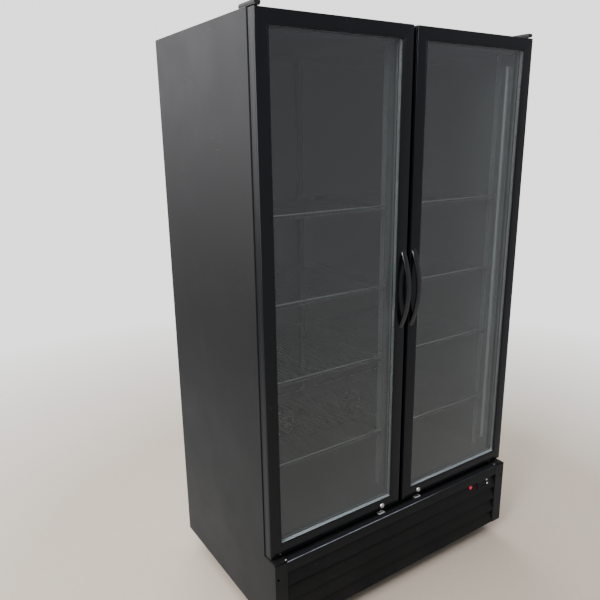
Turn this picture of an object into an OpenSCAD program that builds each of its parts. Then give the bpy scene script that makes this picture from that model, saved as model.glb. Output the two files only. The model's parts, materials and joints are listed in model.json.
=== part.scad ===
// Two-door glass merchandiser: an insulated upright cabinet on a machine base with castors.
// Frame: +X right, +Y towards the back, +Z up, millimetres. The origin is on the floor, at the centre
// of the footprint between the handles' fronts and the back of the cabinet.

/* [Cabinet] */
// Width of the cabinet
body_w = 1120; // [1080:10:1200]
// Depth of the insulated cabinet, from its front face to its back
body_d = 638; // [620:2:660]
// Height of the roof above the floor
roof_z = 1986; // [1920:17:2054]
// Height of the ledge under the doors above the floor
ledge_z = 338; // [336:1:340]
// Distance that the machine base stands ahead of the cabinet face
base_out = 67; // [64:1:70]
// Clearance under the machine base, which the castors fill
clear_z = 70; // [70:1:72]
// Thickness of the insulated side walls
wall = 45; // [44:1:50]
// Thickness of the outer sheet metal
sheet = 1.5; // [1.2:0.1:1.8]

/* [Doors] */
// Gap between the two doors
door_gap = 17; // [12:1:20]
// Gap between the ledge and the doors
door_foot_gap = 11; // [11:0.5:12]
// Thickness of the door frames
door_t = 33; // [33:1:36]
// Gap between the door frames and the cabinet face, which the gaskets fill
seal_gap = 9; // [9:0.5:10]
// Width of the side bars of a door frame
stile_w = 43; // [42:1:48]
// Width of the top bar of a door frame
top_rail = 41.5; // [41:0.5:46]
// Width of the bottom bar of a door frame
bottom_rail = 44.5; // [44.5:0.5:48]
// Thickness of one glass pane
pane_t = 4; // [4:0.5:5]

/* [Handles and locks] */
// Length of a handle between its ends
handle_len = 268; // [240:2:320]
// Distance that a handle stands out from the door
handle_out = 34; // [32:1:46]
// Width of a handle seen from the front
handle_w = 20; // [18:1:26]
// Distance from a door's closing edge to the middle of its handle
handle_in = 15; // [15:1:21.5]
// Distance from the cabinet's centre line to each lock
lock_x = 90; // [80:1:140]

/* [Shelves] */
// Height of the lowest shelf's front rail above the floor
first_rail_z = 623; // [623:17:640]
// Slots of the shelf tracks between each shelf and the next one up
shelf_steps = [17, 15, 16];
// Spacing of the shelf wires
wire_pitch = 15; // [12:1:30]

/* [Castors] */
// Diameter of the castor wheels
wheel_d = 50; // [46:1:50]
// Width of the castor wheels
wheel_w = 18; // [14:1:18]

/* [Hidden] */
$fn = 48;

// Planes of the cabinet
half_w = body_w / 2;
depth = body_d + seal_gap + door_t + handle_out;
back_y = depth / 2;
face_y = back_y - body_d;
base_y = face_y - base_out;
door_back_y = face_y - seal_gap;
door_front_y = door_back_y - door_t;
skin_x = half_w - sheet;
rear_y = back_y - sheet;
lap = 1.2;
deck_z = ledge_z - lap;
joint_gap = 0.3;

// The lined space inside
liner_t = 1;
strip_t = 2;
in_x = half_w - wall;
in_back = back_y - 46;
in_floor = ledge_z + 47;
in_roof = roof_z - 50;

// Doors, described for the left one, which the right one mirrors
door_x0 = -half_w;
door_x1 = -door_gap / 2;
door_z0 = ledge_z + door_foot_gap;
door_z1 = roof_z - 4;
mitre_gap = 0.1;
groove = 12;
edge_play = 1;
unit_front_y = door_front_y + 4;
unit_back_y = unit_front_y + 20;
hinge_x = -half_w + 15;
hinge_y = door_back_y - 16;
pin_r = 4;
bush_r = 7;
bush_len = 22;
run_gap = 0.05;
gasket_t = 8.5;
gasket_w = 18;

// Locks
lock_z = door_z0 + 20;
cam_reach = 28.7;
cam_r = 7;
cam_t = 3;
lock_barrel_r = 7.9;
lock_plug_r = 5.5;

// Front grille: a flat band over four sloping boards
board_top = ledge_z - 40;
board_count = 4;
board_foot = clear_z + 2;
board_pitch = (board_top - board_foot) / board_count;
board_in = 15;
board_lap = 7;
board_t = 1.2;
grille_x = 512.5 + half_w - 560;
bracket_w = 53;
flange_x = half_w - bracket_w - 2.5;
board_tilt = atan(board_in / board_pitch);
controls_z = ledge_z - 64;
switch_z = ledge_z - 57;
controller_x = 450;
switch_x = 371;
screw_x = 347;

// Shelves
rail_drop = 13;
bar = 4;
track_pitch = 17;
track_t = 2;
shelf_front_y = face_y + 38;
shelf_back_y = in_back - 18;
shelf_x0 = 34;
shelf_x1 = in_x - 7;
function steps_below(i) = i == 0 ? 0 : shelf_steps[i - 1] + steps_below(i - 1);
deck_tops = [for (i = [0:3]) first_rail_z - rail_drop + track_pitch * steps_below(i)];
track_front_y = face_y + 63;
track_back_y = in_back - 34;
slot_z0 = deck_tops[0] - bar - 6;
post_x = 26;

// Evaporator box on the back wall, under the lowest shelf
evap_x = in_x - 45;
evap_y = in_back - 96;
evap_z0 = in_floor + 15;
evap_z1 = deck_tops[0] - bar - 14;
evap_fan_x = 180;
evap_fan_z = (evap_z0 + evap_z1) / 2;

// Condenser and its fan, behind the grille
cond_x = -280;
cond_z = 190;
cond_y = base_y + 45;
cond_fan_r = 102;
shroud_y = cond_y + 65;

// Pipes through the cabinet floor
suction = [in_x - 75, in_back - 29];
liquid = [in_x - 57, in_back - 29];

// Castors
castor_x = half_w - 80;
front_castor_y = base_y + 140;
rear_castor_y = back_y - 90;
trail = 18;
axle_r = 3;

// Colours
charcoal = [0.10, 0.10, 0.105];
gloss_black = [0.03, 0.03, 0.04];
liner_black = [0.07, 0.07, 0.08];
zinc = [0.62, 0.63, 0.64];
steel = [0.75, 0.76, 0.78];
copper = [0.72, 0.42, 0.28];

// A box between pairs of limits
module slab(x, y, z)
  translate([x[0], y[0], z[0]]) cube([x[1] - x[0], y[1] - y[0], z[1] - z[0]]);

// A (y, z) outline extruded from x[0] to x[1]
module along_x(x)
  translate([x[0], 0, 0]) rotate([90, 0, 90]) linear_extrude(x[1] - x[0]) children();

// An (x, z) outline extruded from y[0] to y[1]
module along_y(y)
  translate([0, y[1], 0]) rotate([90, 0, 0]) linear_extrude(y[1] - y[0]) children();

// A cylinder from y[0] to y[1]
module rod_y(r, y)
  translate([0, y[0], 0]) rotate([-90, 0, 0]) cylinder(r = r, h = y[1] - y[0]);

// A cylinder from x[0] to x[1]
module rod_x(r, x)
  translate([x[0], 0, 0]) rotate([0, 90, 0]) cylinder(r = r, h = x[1] - x[0]);

module both_sides() {
  children();
  mirror([1, 0, 0]) children();
}

// Children as drawn for the left, or mirrored to the right
module handed(right)
  if (right) mirror([1, 0, 0]) children();
  else children();

// A flat grid: an outline with a rectangular hole in each cell, given by its two edges each way
module grid(outer, columns, rows) {
  rects = concat([outer], [for (c = columns) for (r = rows) [c[0], r[0], c[1], r[1]]]);
  polygon(
    points = [for (q = rects) each [[q[0], q[1]], [q[2], q[1]], [q[2], q[3]], [q[0], q[3]]]],
    paths = [for (i = [0:len(rects) - 1]) [for (k = [0:3]) 4 * i + k]]
  );
}

// ---- Cabinet shell ----

module side_panel(right)
  color(charcoal) handed(right)
    along_x([-half_w, -skin_x])
      polygon([
        [base_y, clear_z], [back_y, clear_z], [back_y, roof_z],
        [face_y, roof_z], [face_y, ledge_z], [base_y, ledge_z]
      ]);

module left_side_panel() side_panel(false);
module right_side_panel() side_panel(true);

module top_panel()
  color(charcoal) slab([-skin_x, skin_x], [face_y, back_y], [roof_z - sheet, roof_z]);

module rear_panel()
  color(zinc) slab([-skin_x, skin_x], [rear_y - sheet, rear_y], [deck_z, roof_z - sheet]);

// Clearance holes where the two pipes pass through the cabinet floor
module pipe_holes(z) {
  translate([suction[0], suction[1], z[0]]) cylinder(r = 7, h = z[1] - z[0]);
  translate([liquid[0], liquid[1], z[0]]) cylinder(r = 5, h = z[1] - z[0]);
}

module foam_insulation()
  color([0.90, 0.84, 0.62]) difference() {
    slab([-skin_x, skin_x], [face_y + strip_t, rear_y - sheet], [deck_z, roof_z - sheet]);
    slab(
      [-in_x - liner_t, in_x + liner_t], [face_y, in_back + liner_t],
      [in_floor - liner_t, in_roof + liner_t]
    );
    pipe_holes([deck_z - 1, in_floor]);
  }

module inner_liner()
  color(liner_black) {
    y = [face_y + strip_t, in_back + liner_t];
    upright = [in_floor + joint_gap, in_roof - joint_gap];
    both_sides() slab([-in_x - liner_t, -in_x], y, upright);
    slab([-in_x + joint_gap, in_x - joint_gap], [in_back, in_back + liner_t], upright);
    slab([-in_x - liner_t, in_x + liner_t], y, [in_roof, in_roof + liner_t]);
    difference() {
      slab([-in_x - liner_t, in_x + liner_t], y, [in_floor - liner_t, in_floor]);
      pipe_holes([in_floor - 2, in_floor + 1]);
    }
  }

// Thermal break strips round the opening, which the gaskets seal on
module front_frame()
  color(gloss_black) {
    y = [face_y, face_y + strip_t];
    both_sides() slab([-skin_x, -in_x], y, [deck_z, roof_z - sheet]);
    slab([-in_x + joint_gap, in_x - joint_gap], y, [in_roof, roof_z - sheet]);
    slab([-in_x + joint_gap, in_x - joint_gap], y, [deck_z, in_floor]);
  }

// Front mullion with its web, and the rear post, which carry the inner shelf tracks
module center_posts()
  color(gloss_black) {
    slab([-30, 30], [face_y, shelf_front_y - joint_gap], [in_floor, in_roof]);
    slab([-post_x, post_x], [shelf_front_y, track_front_y + 15], [in_floor, in_roof]);
    slab([-post_x, post_x], [track_back_y - 18, in_back], [evap_z1, in_roof]);
  }

// ---- Machine base ----

module base_chassis()
  color(charcoal) {
    // Deck under the cabinet, which the ledge in front of the doors is part of
    difference() {
      slab([-skin_x, skin_x], [base_y + lap, rear_y], [deck_z - sheet, deck_z]);
      pipe_holes([deck_z - 2 * sheet, deck_z + 1]);
    }
    // Floor pan
    slab([-skin_x, skin_x], [base_y + 18, rear_y - 10], [clear_z, clear_z + sheet]);
    both_sides() {
      // Front posts, folded back beside the grille
      slab([-skin_x, -grille_x - 0.5], [base_y, base_y + sheet], [clear_z, deck_z - sheet]);
      slab([-grille_x - 2, -grille_x - 0.5], [base_y + sheet, base_y + 30], [clear_z + sheet, deck_z - sheet]);
      // Rear corner angles
      slab([-skin_x, -skin_x + 30], [rear_y - 12, rear_y - 10.5], [clear_z + sheet, deck_z - sheet]);
    }
  }

function board_edge(i) = board_top - i * board_pitch;
// Front face of a sloping board at height z
function board_face_y(z, board = 1) = base_y + board_in * (z - board_edge(board)) / board_pitch;

// Places children on the first sloping board, with -Y out of the board and +Z up along it
module on_board(x, z)
  translate([x, board_face_y(z), z]) rotate([-board_tilt, 0, 0]) children();

module front_grille()
  color(charcoal) {
    width = [-grille_x, grille_x];
    difference() {
      union() {
        slab(width, [base_y, base_y + board_t], [board_top, ledge_z]);
        slab([-flange_x, flange_x], [base_y, base_y + 22], [deck_z, ledge_z]);
        for (i = [1:board_count])
          along_x(width) {
            foot = board_edge(i);
            head = board_edge(i - 1) + board_lap;
            run = board_in * (1 + board_lap / board_pitch);
            polygon([
              [base_y, foot], [base_y + run, head],
              [base_y + run + board_t, head], [base_y + board_t, foot]
            ]);
          }
        // Uprights behind the boards, which join their heads to the flat band
        for (x = [-grille_x + 30, -screw_x, 0, screw_x, grille_x - 12]) {
          slab([x - 6, x + 6], [base_y + board_in, base_y + 24], [board_foot, deck_z - sheet]);
          slab([x - 6, x + 6], [base_y + 0.5, base_y + 24], [board_top + 12, deck_z - sheet]);
        }
      }
      on_board(controller_x, controls_z) slab([-35.5, 35.5], [-8, 14], [-14.5, 14.5]);
      on_board(switch_x, switch_z) rod_y(9.2, [-8, 14]);
    }
  }

module rear_grille()
  color(zinc) {
    width = skin_x - 4;
    rows = [for (i = [0:11]) let (z = clear_z + 60 + 15 * i) [z, z + 5]];
    columns = [for (i = [0:4]) let (x = -380 + 160 * i) [x, x + 120]];
    difference() {
      along_y([rear_y - 9, rear_y - 9 + sheet])
        grid([-width, clear_z + 6, width, deck_z - 3], columns, rows);
      translate([-470, 0, 140]) rod_y(8.2, [rear_y - 20, rear_y]);
    }
  }

module compressor()
  color([0.05, 0.05, 0.05]) translate([300, 150, clear_z + sheet]) {
    for (x = [-90, 90]) for (y = [-60, 60]) translate([x, y, 0]) cylinder(r = 12, h = 14);
    slab([-110, 110], [-78, 78], [14, 17]);
    translate([0, 0, 17]) rotate_extrude() intersection() {
      square([76, 190]);
      translate([0, 70]) circle(120);
    }
    translate([0, 0, 100]) cylinder(r = 79, h = 7);
    slab([60, 100], [-24, 24], [70, 130]);
  }

// A finned block with end plates and return bends, its rows along X
module finned_coil(x, y, z, rows, pipe_r) {
  slab([x[0], x[1]], y, z);
  for (side = [0, 1]) {
    plate = side == 0 ? [x[0] - 2, x[0]] : [x[1], x[1] + 2];
    slab(plate, [y[0] - 3, y[1] + 3], [z[0] - 3, z[1] + 3]);
    for (i = [0:rows - 1]) {
      step = (z[1] - z[0]) / rows;
      translate([plate[side], (y[0] + y[1]) / 2, z[0] + step * (i + 0.5)])
        rotate([90, 0, side == 0 ? 90 : -90]) rotate_extrude(angle = 180)
          translate([step / 4, 0]) circle(pipe_r);
    }
  }
}

module condenser_coil()
  color(zinc)
    finned_coil([cond_x - 150, cond_x + 150], [cond_y, cond_y + 50], [cond_z - 105, cond_z + 95], 5, 4);

module condenser_fan_shroud()
  color([0.06, 0.06, 0.06]) {
    // Housing round the back of the coil, with the fan's ring
    difference() {
      slab([cond_x - 148, cond_x + 148], [cond_y + 53.5, shroud_y + 25], [cond_z - 105, cond_z + 106]);
      slab([cond_x - 146, cond_x + 146], [cond_y + 53, shroud_y - 2], [cond_z - 103, cond_z + 104]);
      translate([cond_x, 0, cond_z]) rod_y(cond_fan_r, [shroud_y - 3, shroud_y + 26]);
    }
    translate([cond_x, 0, cond_z]) {
      rod_y(38, [shroud_y + 40, shroud_y + 100]);
      rod_y(pin_r, [shroud_y + 6, shroud_y + 40]);
      for (a = [45, 135, 225, 315])
        rotate([0, a, 0]) slab([30, 112], [shroud_y + 50, shroud_y + 53], [-6, 6]);
      for (a = [45, 135, 225, 315])
        rotate([0, a, 0]) slab([106, 112], [shroud_y + 25, shroud_y + 50], [-6, 6]);
    }
  }

// A fan on the Y axis: hub with a blind bore from the back, and pitched blades
module fan(tip_r, hub_r, y, blades, chord) {
  difference() {
    rod_y(hub_r, y);
    rod_y(pin_r + run_gap, [y[0] + 4, y[1] + 1]);
  }
  for (i = [0:blades - 1])
    rotate([0, 360 / blades * i, 0])
      translate([(hub_r + tip_r) / 2 - 1, (y[0] + y[1]) / 2, 0]) rotate([28, 0, 0])
        cube([tip_r - hub_r + 2, 1.6, chord], center = true);
}

module condenser_fan_blade()
  color([0.12, 0.12, 0.13]) translate([cond_x, 0, cond_z])
    fan(cond_fan_r - 8, 24, [shroud_y + 1, shroud_y + 24], 5, 40);

// A run of pipe through a list of points, with a ball at each turn
module pipe(points, r)
  for (i = [0:len(points) - 2]) {
    run = points[i + 1] - points[i];
    len_run = norm(run);
    translate(points[i]) {
      rotate([0, acos(run[2] / len_run), atan2(run[1], run[0])]) cylinder(r = r, h = len_run);
      sphere(r = r);
    }
  }

module refrigerant_pipes()
  color(copper) {
    bay = clear_z + 60;
    pipe([
      [300, 240, bay], [suction[0], 240, bay], [suction[0], suction[1], bay],
      [suction[0], suction[1], evap_z0 + 30], [evap_x - 42, suction[1], evap_z0 + 30]
    ], 4.5);
    pipe([
      [cond_x + 155, cond_y + 20, bay + 40], [cond_x + 175, cond_y + 20, bay + 40],
      [cond_x + 175, 310, bay + 40], [liquid[0], 310, bay + 40],
      [liquid[0], liquid[1], bay + 40], [liquid[0], liquid[1], evap_z0 + 50],
      [evap_x - 42, liquid[1], evap_z0 + 50]
    ], 3);
    pipe([
      [300, 60, bay - 20], [60, 60, bay - 20], [60, cond_y + 40, bay - 20],
      [cond_x + 155, cond_y + 40, bay - 20]
    ], 3);
  }

// ---- Evaporator box ----

module evaporator_coil()
  color(steel)
    finned_coil(
      [-evap_x + 50, evap_x - 50], [in_back - 36, in_back - 4], [evap_z0 + 15, evap_z1 - 10], 4, 3.5
    );

module evaporator_cover()
  color(liner_black) {
    slots = [for (i = [0:11]) let (x = -evap_x + 30 + 75 * i) [x, x + 55]];
    difference() {
      slab([-evap_x, evap_x], [evap_y, evap_y + sheet], [evap_z0, evap_z1]);
      for (s = [-1, 1]) translate([s * evap_fan_x, 0, evap_fan_z]) rod_y(66, [evap_y - 1, evap_y + 3]);
    }
    translate([0, 0, evap_z1 - sheet]) linear_extrude(sheet)
      grid([-evap_x, evap_y + sheet, evap_x, in_back], slots, [[in_back - 30, in_back - 12]]);
    both_sides() slab([-evap_x, -evap_x + sheet], [evap_y + sheet, in_back], [evap_z0, evap_z1 - sheet]);
    // Round wire guards in the two fan openings
    for (s = [-1, 1]) translate([s * evap_fan_x, 0, evap_fan_z]) {
      for (r = [20, 35, 50, 64]) difference() {
        rod_y(r + 1.2, [evap_y, evap_y + sheet]);
        rod_y(r - 1.2, [evap_y - 1, evap_y + 3]);
      }
      for (a = [0:60:120]) rotate([0, a, 0]) slab([-67, 67], [evap_y, evap_y + sheet], [-1.2, 1.2]);
    }
  }

module evaporator_fan_motors()
  color([0.15, 0.15, 0.16])
    for (s = [-1, 1]) translate([s * evap_fan_x, 0, evap_fan_z]) {
      rod_y(26, [evap_y + 31, evap_y + 56]);
      rod_y(pin_r, [evap_y + 12, evap_y + 31]);
      slab([-6, 6], [evap_y + 52, evap_y + 54], [-90, 88]);
      for (z = [-90, 86]) slab([-6, 6], [evap_y + sheet, evap_y + 54], [z, z + 2]);
    }

module evaporator_fan(s)
  color([0.12, 0.12, 0.13]) translate([s * evap_fan_x, 0, evap_fan_z])
    fan(58, 17, [evap_y + 7, evap_y + 27], 5, 30);

module evaporator_fan_left() evaporator_fan(-1);
module evaporator_fan_right() evaporator_fan(1);

// ---- Shelves, tracks and lighting ----

// A slotted track lying in the (y, z) plane, centred on y
module track(x, y, z)
  along_x([x, x + track_t])
    grid(
      [y - 10, z[0], y + 10, z[1]], [[y - 1.6, y + 1.6]],
      [for (k = [-2:57]) let (c = slot_z0 + track_pitch * k) if (c - 7 > z[0]) [c - 5, c + 5]]
    );

module shelf_tracks()
  color(zinc)
    both_sides() {
      for (y = [track_front_y, track_back_y])
        track(-in_x, y, [in_floor + 1, in_roof - 1]);
      track(-post_x - track_t, track_front_y, [in_floor + 1, in_roof - 1]);
      track(-post_x - track_t, track_back_y, [evap_z1, in_roof - 1]);
    }

// A clip under a shelf corner, with its tongue in a track slot at x = 0 and its shelf on the +X side
module clip() {
  slab([0, 13], [-6, 6], [-3, 0]);
  slab([0, 1.5], [-6, 6], [-13, -3]);
  slab([-1.5, 0], [-1.3, 1.3], [-10, -3]);
}

module shelf_clips()
  color(zinc)
    for (z = deck_tops) for (y = [track_front_y, track_back_y])
      both_sides() {
        translate([-in_x + track_t, y, z - bar]) clip();
        translate([-post_x - track_t, y, z - bar]) mirror([1, 0, 0]) clip();
      }

// One shelf: wires from front to back on three cross bars, with an upstand along the front
module shelf(z) {
  count = floor((shelf_x1 - shelf_x0) / wire_pitch);
  step = (shelf_x1 - shelf_x0 - 3.2) / count;
  cells = [for (i = [0:count - 1]) let (x = -shelf_x1 + 3.2 + i * step) [x, x + step - 3.2]];
  mid_y = (shelf_front_y + shelf_back_y) / 2 - 31;
  translate([0, 0, z - bar]) linear_extrude(bar)
    grid(
      [-shelf_x1, shelf_front_y, -shelf_x0, shelf_back_y], cells,
      [[shelf_front_y + bar, mid_y - 2], [mid_y + 2, shelf_back_y - bar]]
    );
  along_y([shelf_front_y, shelf_front_y + bar])
    grid([-shelf_x1, z + mitre_gap, -shelf_x0, z + rail_drop + 2], cells, [[z + 2, z + rail_drop - 2]]);
}

module shelf_stack(right)
  color([0.78, 0.79, 0.80]) handed(right) for (z = deck_tops) shelf(z);

module shelves_left() shelf_stack(false);
module shelves_right() shelf_stack(true);

led_y = face_y + 21;
led_z = [in_floor + 56, in_roof - 46];

module led_channels()
  color(steel) both_sides() {
    slab([-in_x, -in_x + 6], [led_y - 6, led_y + 6], led_z);
    for (z = [led_z[0] - 4, led_z[1]]) slab([-in_x, -in_x + 12], [led_y - 6, led_y + 6], [z, z + 4]);
  }

module led_diffusers()
  color("white") both_sides()
    translate([-in_x + 6, led_y, led_z[0]]) linear_extrude(led_z[1] - led_z[0])
      intersection() {
        circle(5);
        translate([0, -6]) square([6, 12]);
      }

// ---- Controls ----

// Button centres on the controller, across and up from its middle
button_x = 18;
button_ups = [-4, 11];

module button_shape(grow)
  slab([-4 - grow, 4 + grow], [-3.6, 0.6], [-2.6 - grow, 2.6 + grow]);

module controller_body()
  color([0.02, 0.02, 0.02]) on_board(controller_x, controls_z)
    difference() {
      union() {
        slab([-39, 39], [-3, 0], [-17.5, 17.5]);
        slab([-35.2, 35.2], [0, 45], [-14.2, 14.2]);
      }
      slab([-32, 10], [-4, -2.5], [-9, 11]);
      for (up = button_ups) translate([button_x, 0, up]) slab([-4.3, 4.3], [-4, 2], [-2.9, 2.9]);
    }

module button(up)
  color("white") on_board(controller_x, controls_z) translate([button_x, 0, up]) button_shape(0);

module button_up() button(button_ups[1]);
module button_down() button(button_ups[0]);

module switch_bezel()
  color([0.02, 0.02, 0.02]) on_board(switch_x, switch_z)
    difference() {
      union() {
        rod_y(11.5, [-2, 0]);
        rod_y(9.1, [0, 18]);
      }
      rod_y(8.3, [-3, 8]);
    }

// The rocker rests with its lower end pressed in, and tips about a pin across the bezel
rocker_pivot = 0.5;
rocker_throw = 8;

module switch_rocker()
  color([0.85, 0.05, 0.10]) on_board(switch_x, switch_z)
    translate([0, rocker_pivot, 0]) rotate([rocker_throw, 0, 0]) rod_y(7.6, [-4, 4]);

// ---- Hinges, locks and fasteners ----

// Narrow bars over the top corners, from in front of the hinge pins back onto the roof
hinge_bar_x = [-half_w + 2, -half_w + 22];
hinge_bar_y = [door_front_y + 2, face_y + 45];
cap_z = roof_z + 3.2;
cap_top = roof_z + 12;

module top_hinge_brackets()
  color(gloss_black) both_sides() {
    slab(hinge_bar_x, hinge_bar_y, [roof_z, roof_z + 3]);
    translate([hinge_x, hinge_y, door_z1 - bush_len + 2])
      cylinder(r = pin_r, h = roof_z - door_z1 + bush_len - 2);
    // Cap over the bracket
    along_x(hinge_bar_x)
      polygon([
        [hinge_bar_y[0], cap_z], [hinge_bar_y[1], cap_z],
        [hinge_bar_y[1], cap_top - 3], [hinge_bar_y[1] - 7, cap_top],
        [hinge_bar_y[0] + 3, cap_top], [hinge_bar_y[0], cap_top - 3]
      ]);
  }

module bottom_hinge_brackets()
  color(gloss_black) both_sides() {
    slab([-half_w + 2, -half_w + 2 + bracket_w], [base_y + 6, face_y - 1], [deck_z, deck_z + 3]);
    translate([hinge_x, hinge_y, deck_z]) {
      cylinder(r = 8, h = door_z0 - deck_z - 1.8);
      cylinder(r = pin_r, h = door_z0 - deck_z + bush_len - 2);
    }
  }

// Catch plates on the ledge under the locks
module lock_strikes()
  color(steel) both_sides()
    translate([-lock_x, 0, deck_z]) linear_extrude(1.7)
      grid([-14, base_y + 23, 14, base_y + 45], [[-10, 10]], [[base_y + 29, base_y + 36]]);

// A pan head on the Y axis, facing -Y
module head_y(r, y) rod_y(r, [y - 1.6, y]);

module screws()
  color(steel) {
    for (x = [-screw_x, screw_x]) {
      translate([x, 0, ledge_z - 7]) head_y(4, base_y);
      translate([x, board_face_y(board_foot + 4, board_count), board_foot + 4])
        rotate([-board_tilt, 0, 0]) head_y(4, 0);
    }
    both_sides() {
      for (y = [base_y + 12, face_y - 8])
        translate([-half_w + 48, y, deck_z + 3]) cylinder(r = 4, h = 1.6);
      for (z = [deck_z + 40 : 230 : roof_z - 40])
        translate([-skin_x + 14, 0, z]) rod_y(4, [rear_y, rear_y + 1.3]);
      for (z = [clear_z + 20, deck_z - 20])
        translate([-skin_x + 14, 0, z]) rod_y(4, [rear_y - 9 + sheet, rear_y - 6]);
      translate([-lock_x, 0, 0]) for (x = [-12, 12])
        translate([x, base_y + 40, deck_z + 1.7]) cylinder(r = 1.8, h = 0.6);
    }
  }

// Compression gland where the supply lead enters the machine base
module cable_gland()
  color([0.05, 0.05, 0.05]) translate([-470, 0, 140])
    difference() {
      union() {
        rod_y(8, [rear_y - 22, rear_y - 1]);
        rotate([-90, 0, 0]) {
          translate([0, 0, rear_y - 9 + sheet]) cylinder(r = 11.5, h = 6, $fn = 6);
          translate([0, 0, rear_y - 15]) cylinder(r = 11.5, h = 6, $fn = 6);
        }
      }
      rod_y(4, [rear_y - 23, rear_y]);
    }

// ---- Castors ----

// Two legs from a crown between y[0] and y[1] to an axle at y = off
module fork_legs(y, off) {
  both_sides() along_x([-wheel_w / 2 - 4.5, -wheel_w / 2 - 2])
    polygon([
      [y[0], 60], [y[1], 60], [off + 9, wheel_d / 2 + 6],
      [off + 9, wheel_d / 2 - 7], [off - 9, wheel_d / 2 - 7], [y[0], 48]
    ]);
  translate([0, off, wheel_d / 2]) rod_x(axle_r, [-wheel_w / 2 - 5.5, wheel_w / 2 + 5.5]);
}

module castor_mounts()
  color(zinc) {
    both_sides() {
      translate([-castor_x, front_castor_y, 0]) {
        slab([-32, 32], [-30, 30], [clear_z - 2.5, clear_z]);
        translate([0, 0, 62]) cylinder(r = 17, h = clear_z - 64.5);
        translate([0, 0, 54]) cylinder(r = pin_r, h = 10);
      }
      translate([-castor_x, rear_castor_y, 0]) {
        slab([-32, 32], [-30, 30], [clear_z - 2.5, clear_z]);
        slab([-wheel_w / 2 - 4.5, wheel_w / 2 + 4.5], [-28, 28], [57, clear_z - 2.5]);
        fork_legs([-28, 28], 0);
      }
    }
  }

module castor_fork(right)
  color(zinc) handed(right) translate([-castor_x, front_castor_y, 0])
    difference() {
      union() {
        slab([-wheel_w / 2 - 4.5, wheel_w / 2 + 4.5], [-13, 28], [56.5, 60]);
        translate([0, 0, 56.5]) cylinder(r = 16, h = 5);
        fork_legs([-13, 28], trail);
      }
      translate([0, 0, 50]) cylinder(r = pin_r + run_gap, h = 15);
    }

module front_left_castor_fork() castor_fork(false);
module front_right_castor_fork() castor_fork(true);

module wheel(right, y)
  color([0.13, 0.13, 0.13]) handed(right)
    translate([-castor_x, y, wheel_d / 2]) rotate([0, 90, 0]) rotate_extrude()
      polygon([
        [axle_r + run_gap, -wheel_w / 2], [wheel_d / 2 - 3, -wheel_w / 2],
        [wheel_d / 2, -wheel_w / 2 + 3], [wheel_d / 2, wheel_w / 2 - 3],
        [wheel_d / 2 - 3, wheel_w / 2], [axle_r + run_gap, wheel_w / 2]
      ]);

module front_left_wheel() wheel(false, front_castor_y + trail);
module front_right_wheel() wheel(true, front_castor_y + trail);
module rear_left_wheel() wheel(false, rear_castor_y);
module rear_right_wheel() wheel(true, rear_castor_y);

// ---- Doors ----

// One mitred bar of the frame, given its (x, z) corners and the groove that the glass sits in
module frame_bar(corners, groove_x, groove_z)
  difference() {
    along_y([door_front_y, door_back_y]) polygon(corners);
    slab(groove_x, [unit_front_y, unit_back_y], groove_z);
    for (z = [[door_z0 - 1, door_z0 + bush_len], [door_z1 - bush_len, door_z1 + 1]])
      translate([hinge_x, hinge_y, z[0]]) cylinder(r = bush_r, h = z[1] - z[0]);
    translate([-lock_x, 0, lock_z]) {
      rod_y(lock_barrel_r, [door_front_y - 1, door_front_y + 5]);
      // Pocket that the cam turns in, open below
      slab([-9, 31], [door_front_y + 4, door_front_y + 11], [-21, 9]);
      slab([-31, 9], [door_front_y + 4, door_front_y + 11], [-21, 9]);
    }
  }

module door_frame(right) {
  g = mitre_gap;
  full_x = [door_x0 - 1, door_x1 + 1];
  full_z = [door_z0 - 1, door_z1 + 1];
  in_x0 = door_x0 + stile_w;
  in_x1 = door_x1 - stile_w;
  in_z0 = door_z0 + bottom_rail;
  in_z1 = door_z1 - top_rail;
  color(gloss_black) handed(right) {
    frame_bar(
      [[door_x0, door_z0 + g], [in_x0, in_z0 + g], [in_x0, in_z1 - g], [door_x0, door_z1 - g]],
      [in_x0 - groove, in_x0 + 1], [in_z0 - groove, in_z1 + groove]
    );
    frame_bar(
      [[door_x1, door_z0 + g], [in_x1, in_z0 + g], [in_x1, in_z1 - g], [door_x1, door_z1 - g]],
      [in_x1 - 1, in_x1 + groove], [in_z0 - groove, in_z1 + groove]
    );
    frame_bar(
      [[door_x0 + g, door_z1], [in_x0 + g, in_z1], [in_x1 - g, in_z1], [door_x1 - g, door_z1]],
      [in_x0 - groove, in_x1 + groove], [in_z1 - 1, in_z1 + groove]
    );
    frame_bar(
      [[door_x0 + g, door_z0], [in_x0 + g, in_z0], [in_x1 - g, in_z0], [door_x1 - g, door_z0]],
      [in_x0 - groove, in_x1 + groove], [in_z0 - groove, in_z0 + 1]
    );
  }
}

// Edges of the sealed glass unit
unit_x = [door_x0 + stile_w - groove + edge_play, door_x1 - stile_w + groove - edge_play];
unit_z = [door_z0 + bottom_rail - groove + edge_play, door_z1 - top_rail + groove - edge_play];

module door_glass(right)
  color([0.55, 0.62, 0.65, 0.35]) handed(right) {
    slab(unit_x, [unit_front_y, unit_front_y + pane_t], unit_z);
    slab(unit_x, [unit_back_y - pane_t, unit_back_y], unit_z);
  }

// Four bars round a rectangle, w wide, each short of the next one by a small gap
module ring_bars(x, y, z, w) {
  for (at = [x[0], x[1] - w]) slab([at, at + w], y, z);
  for (at = [z[0], z[1] - w]) slab([x[0] + w + mitre_gap, x[1] - w - mitre_gap], y, [at, at + w]);
}

module door_spacer(right)
  color(steel) handed(right)
    ring_bars(unit_x, [unit_front_y + pane_t, unit_back_y - pane_t], unit_z, groove - edge_play);

module door_gasket(right)
  color([0.04, 0.04, 0.04]) handed(right)
    ring_bars(
      [hinge_x + 8, door_x1 - 3.5], [door_back_y, door_back_y + gasket_t],
      [door_z0 + 13, door_z1 - 20], gasket_w
    );

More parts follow.
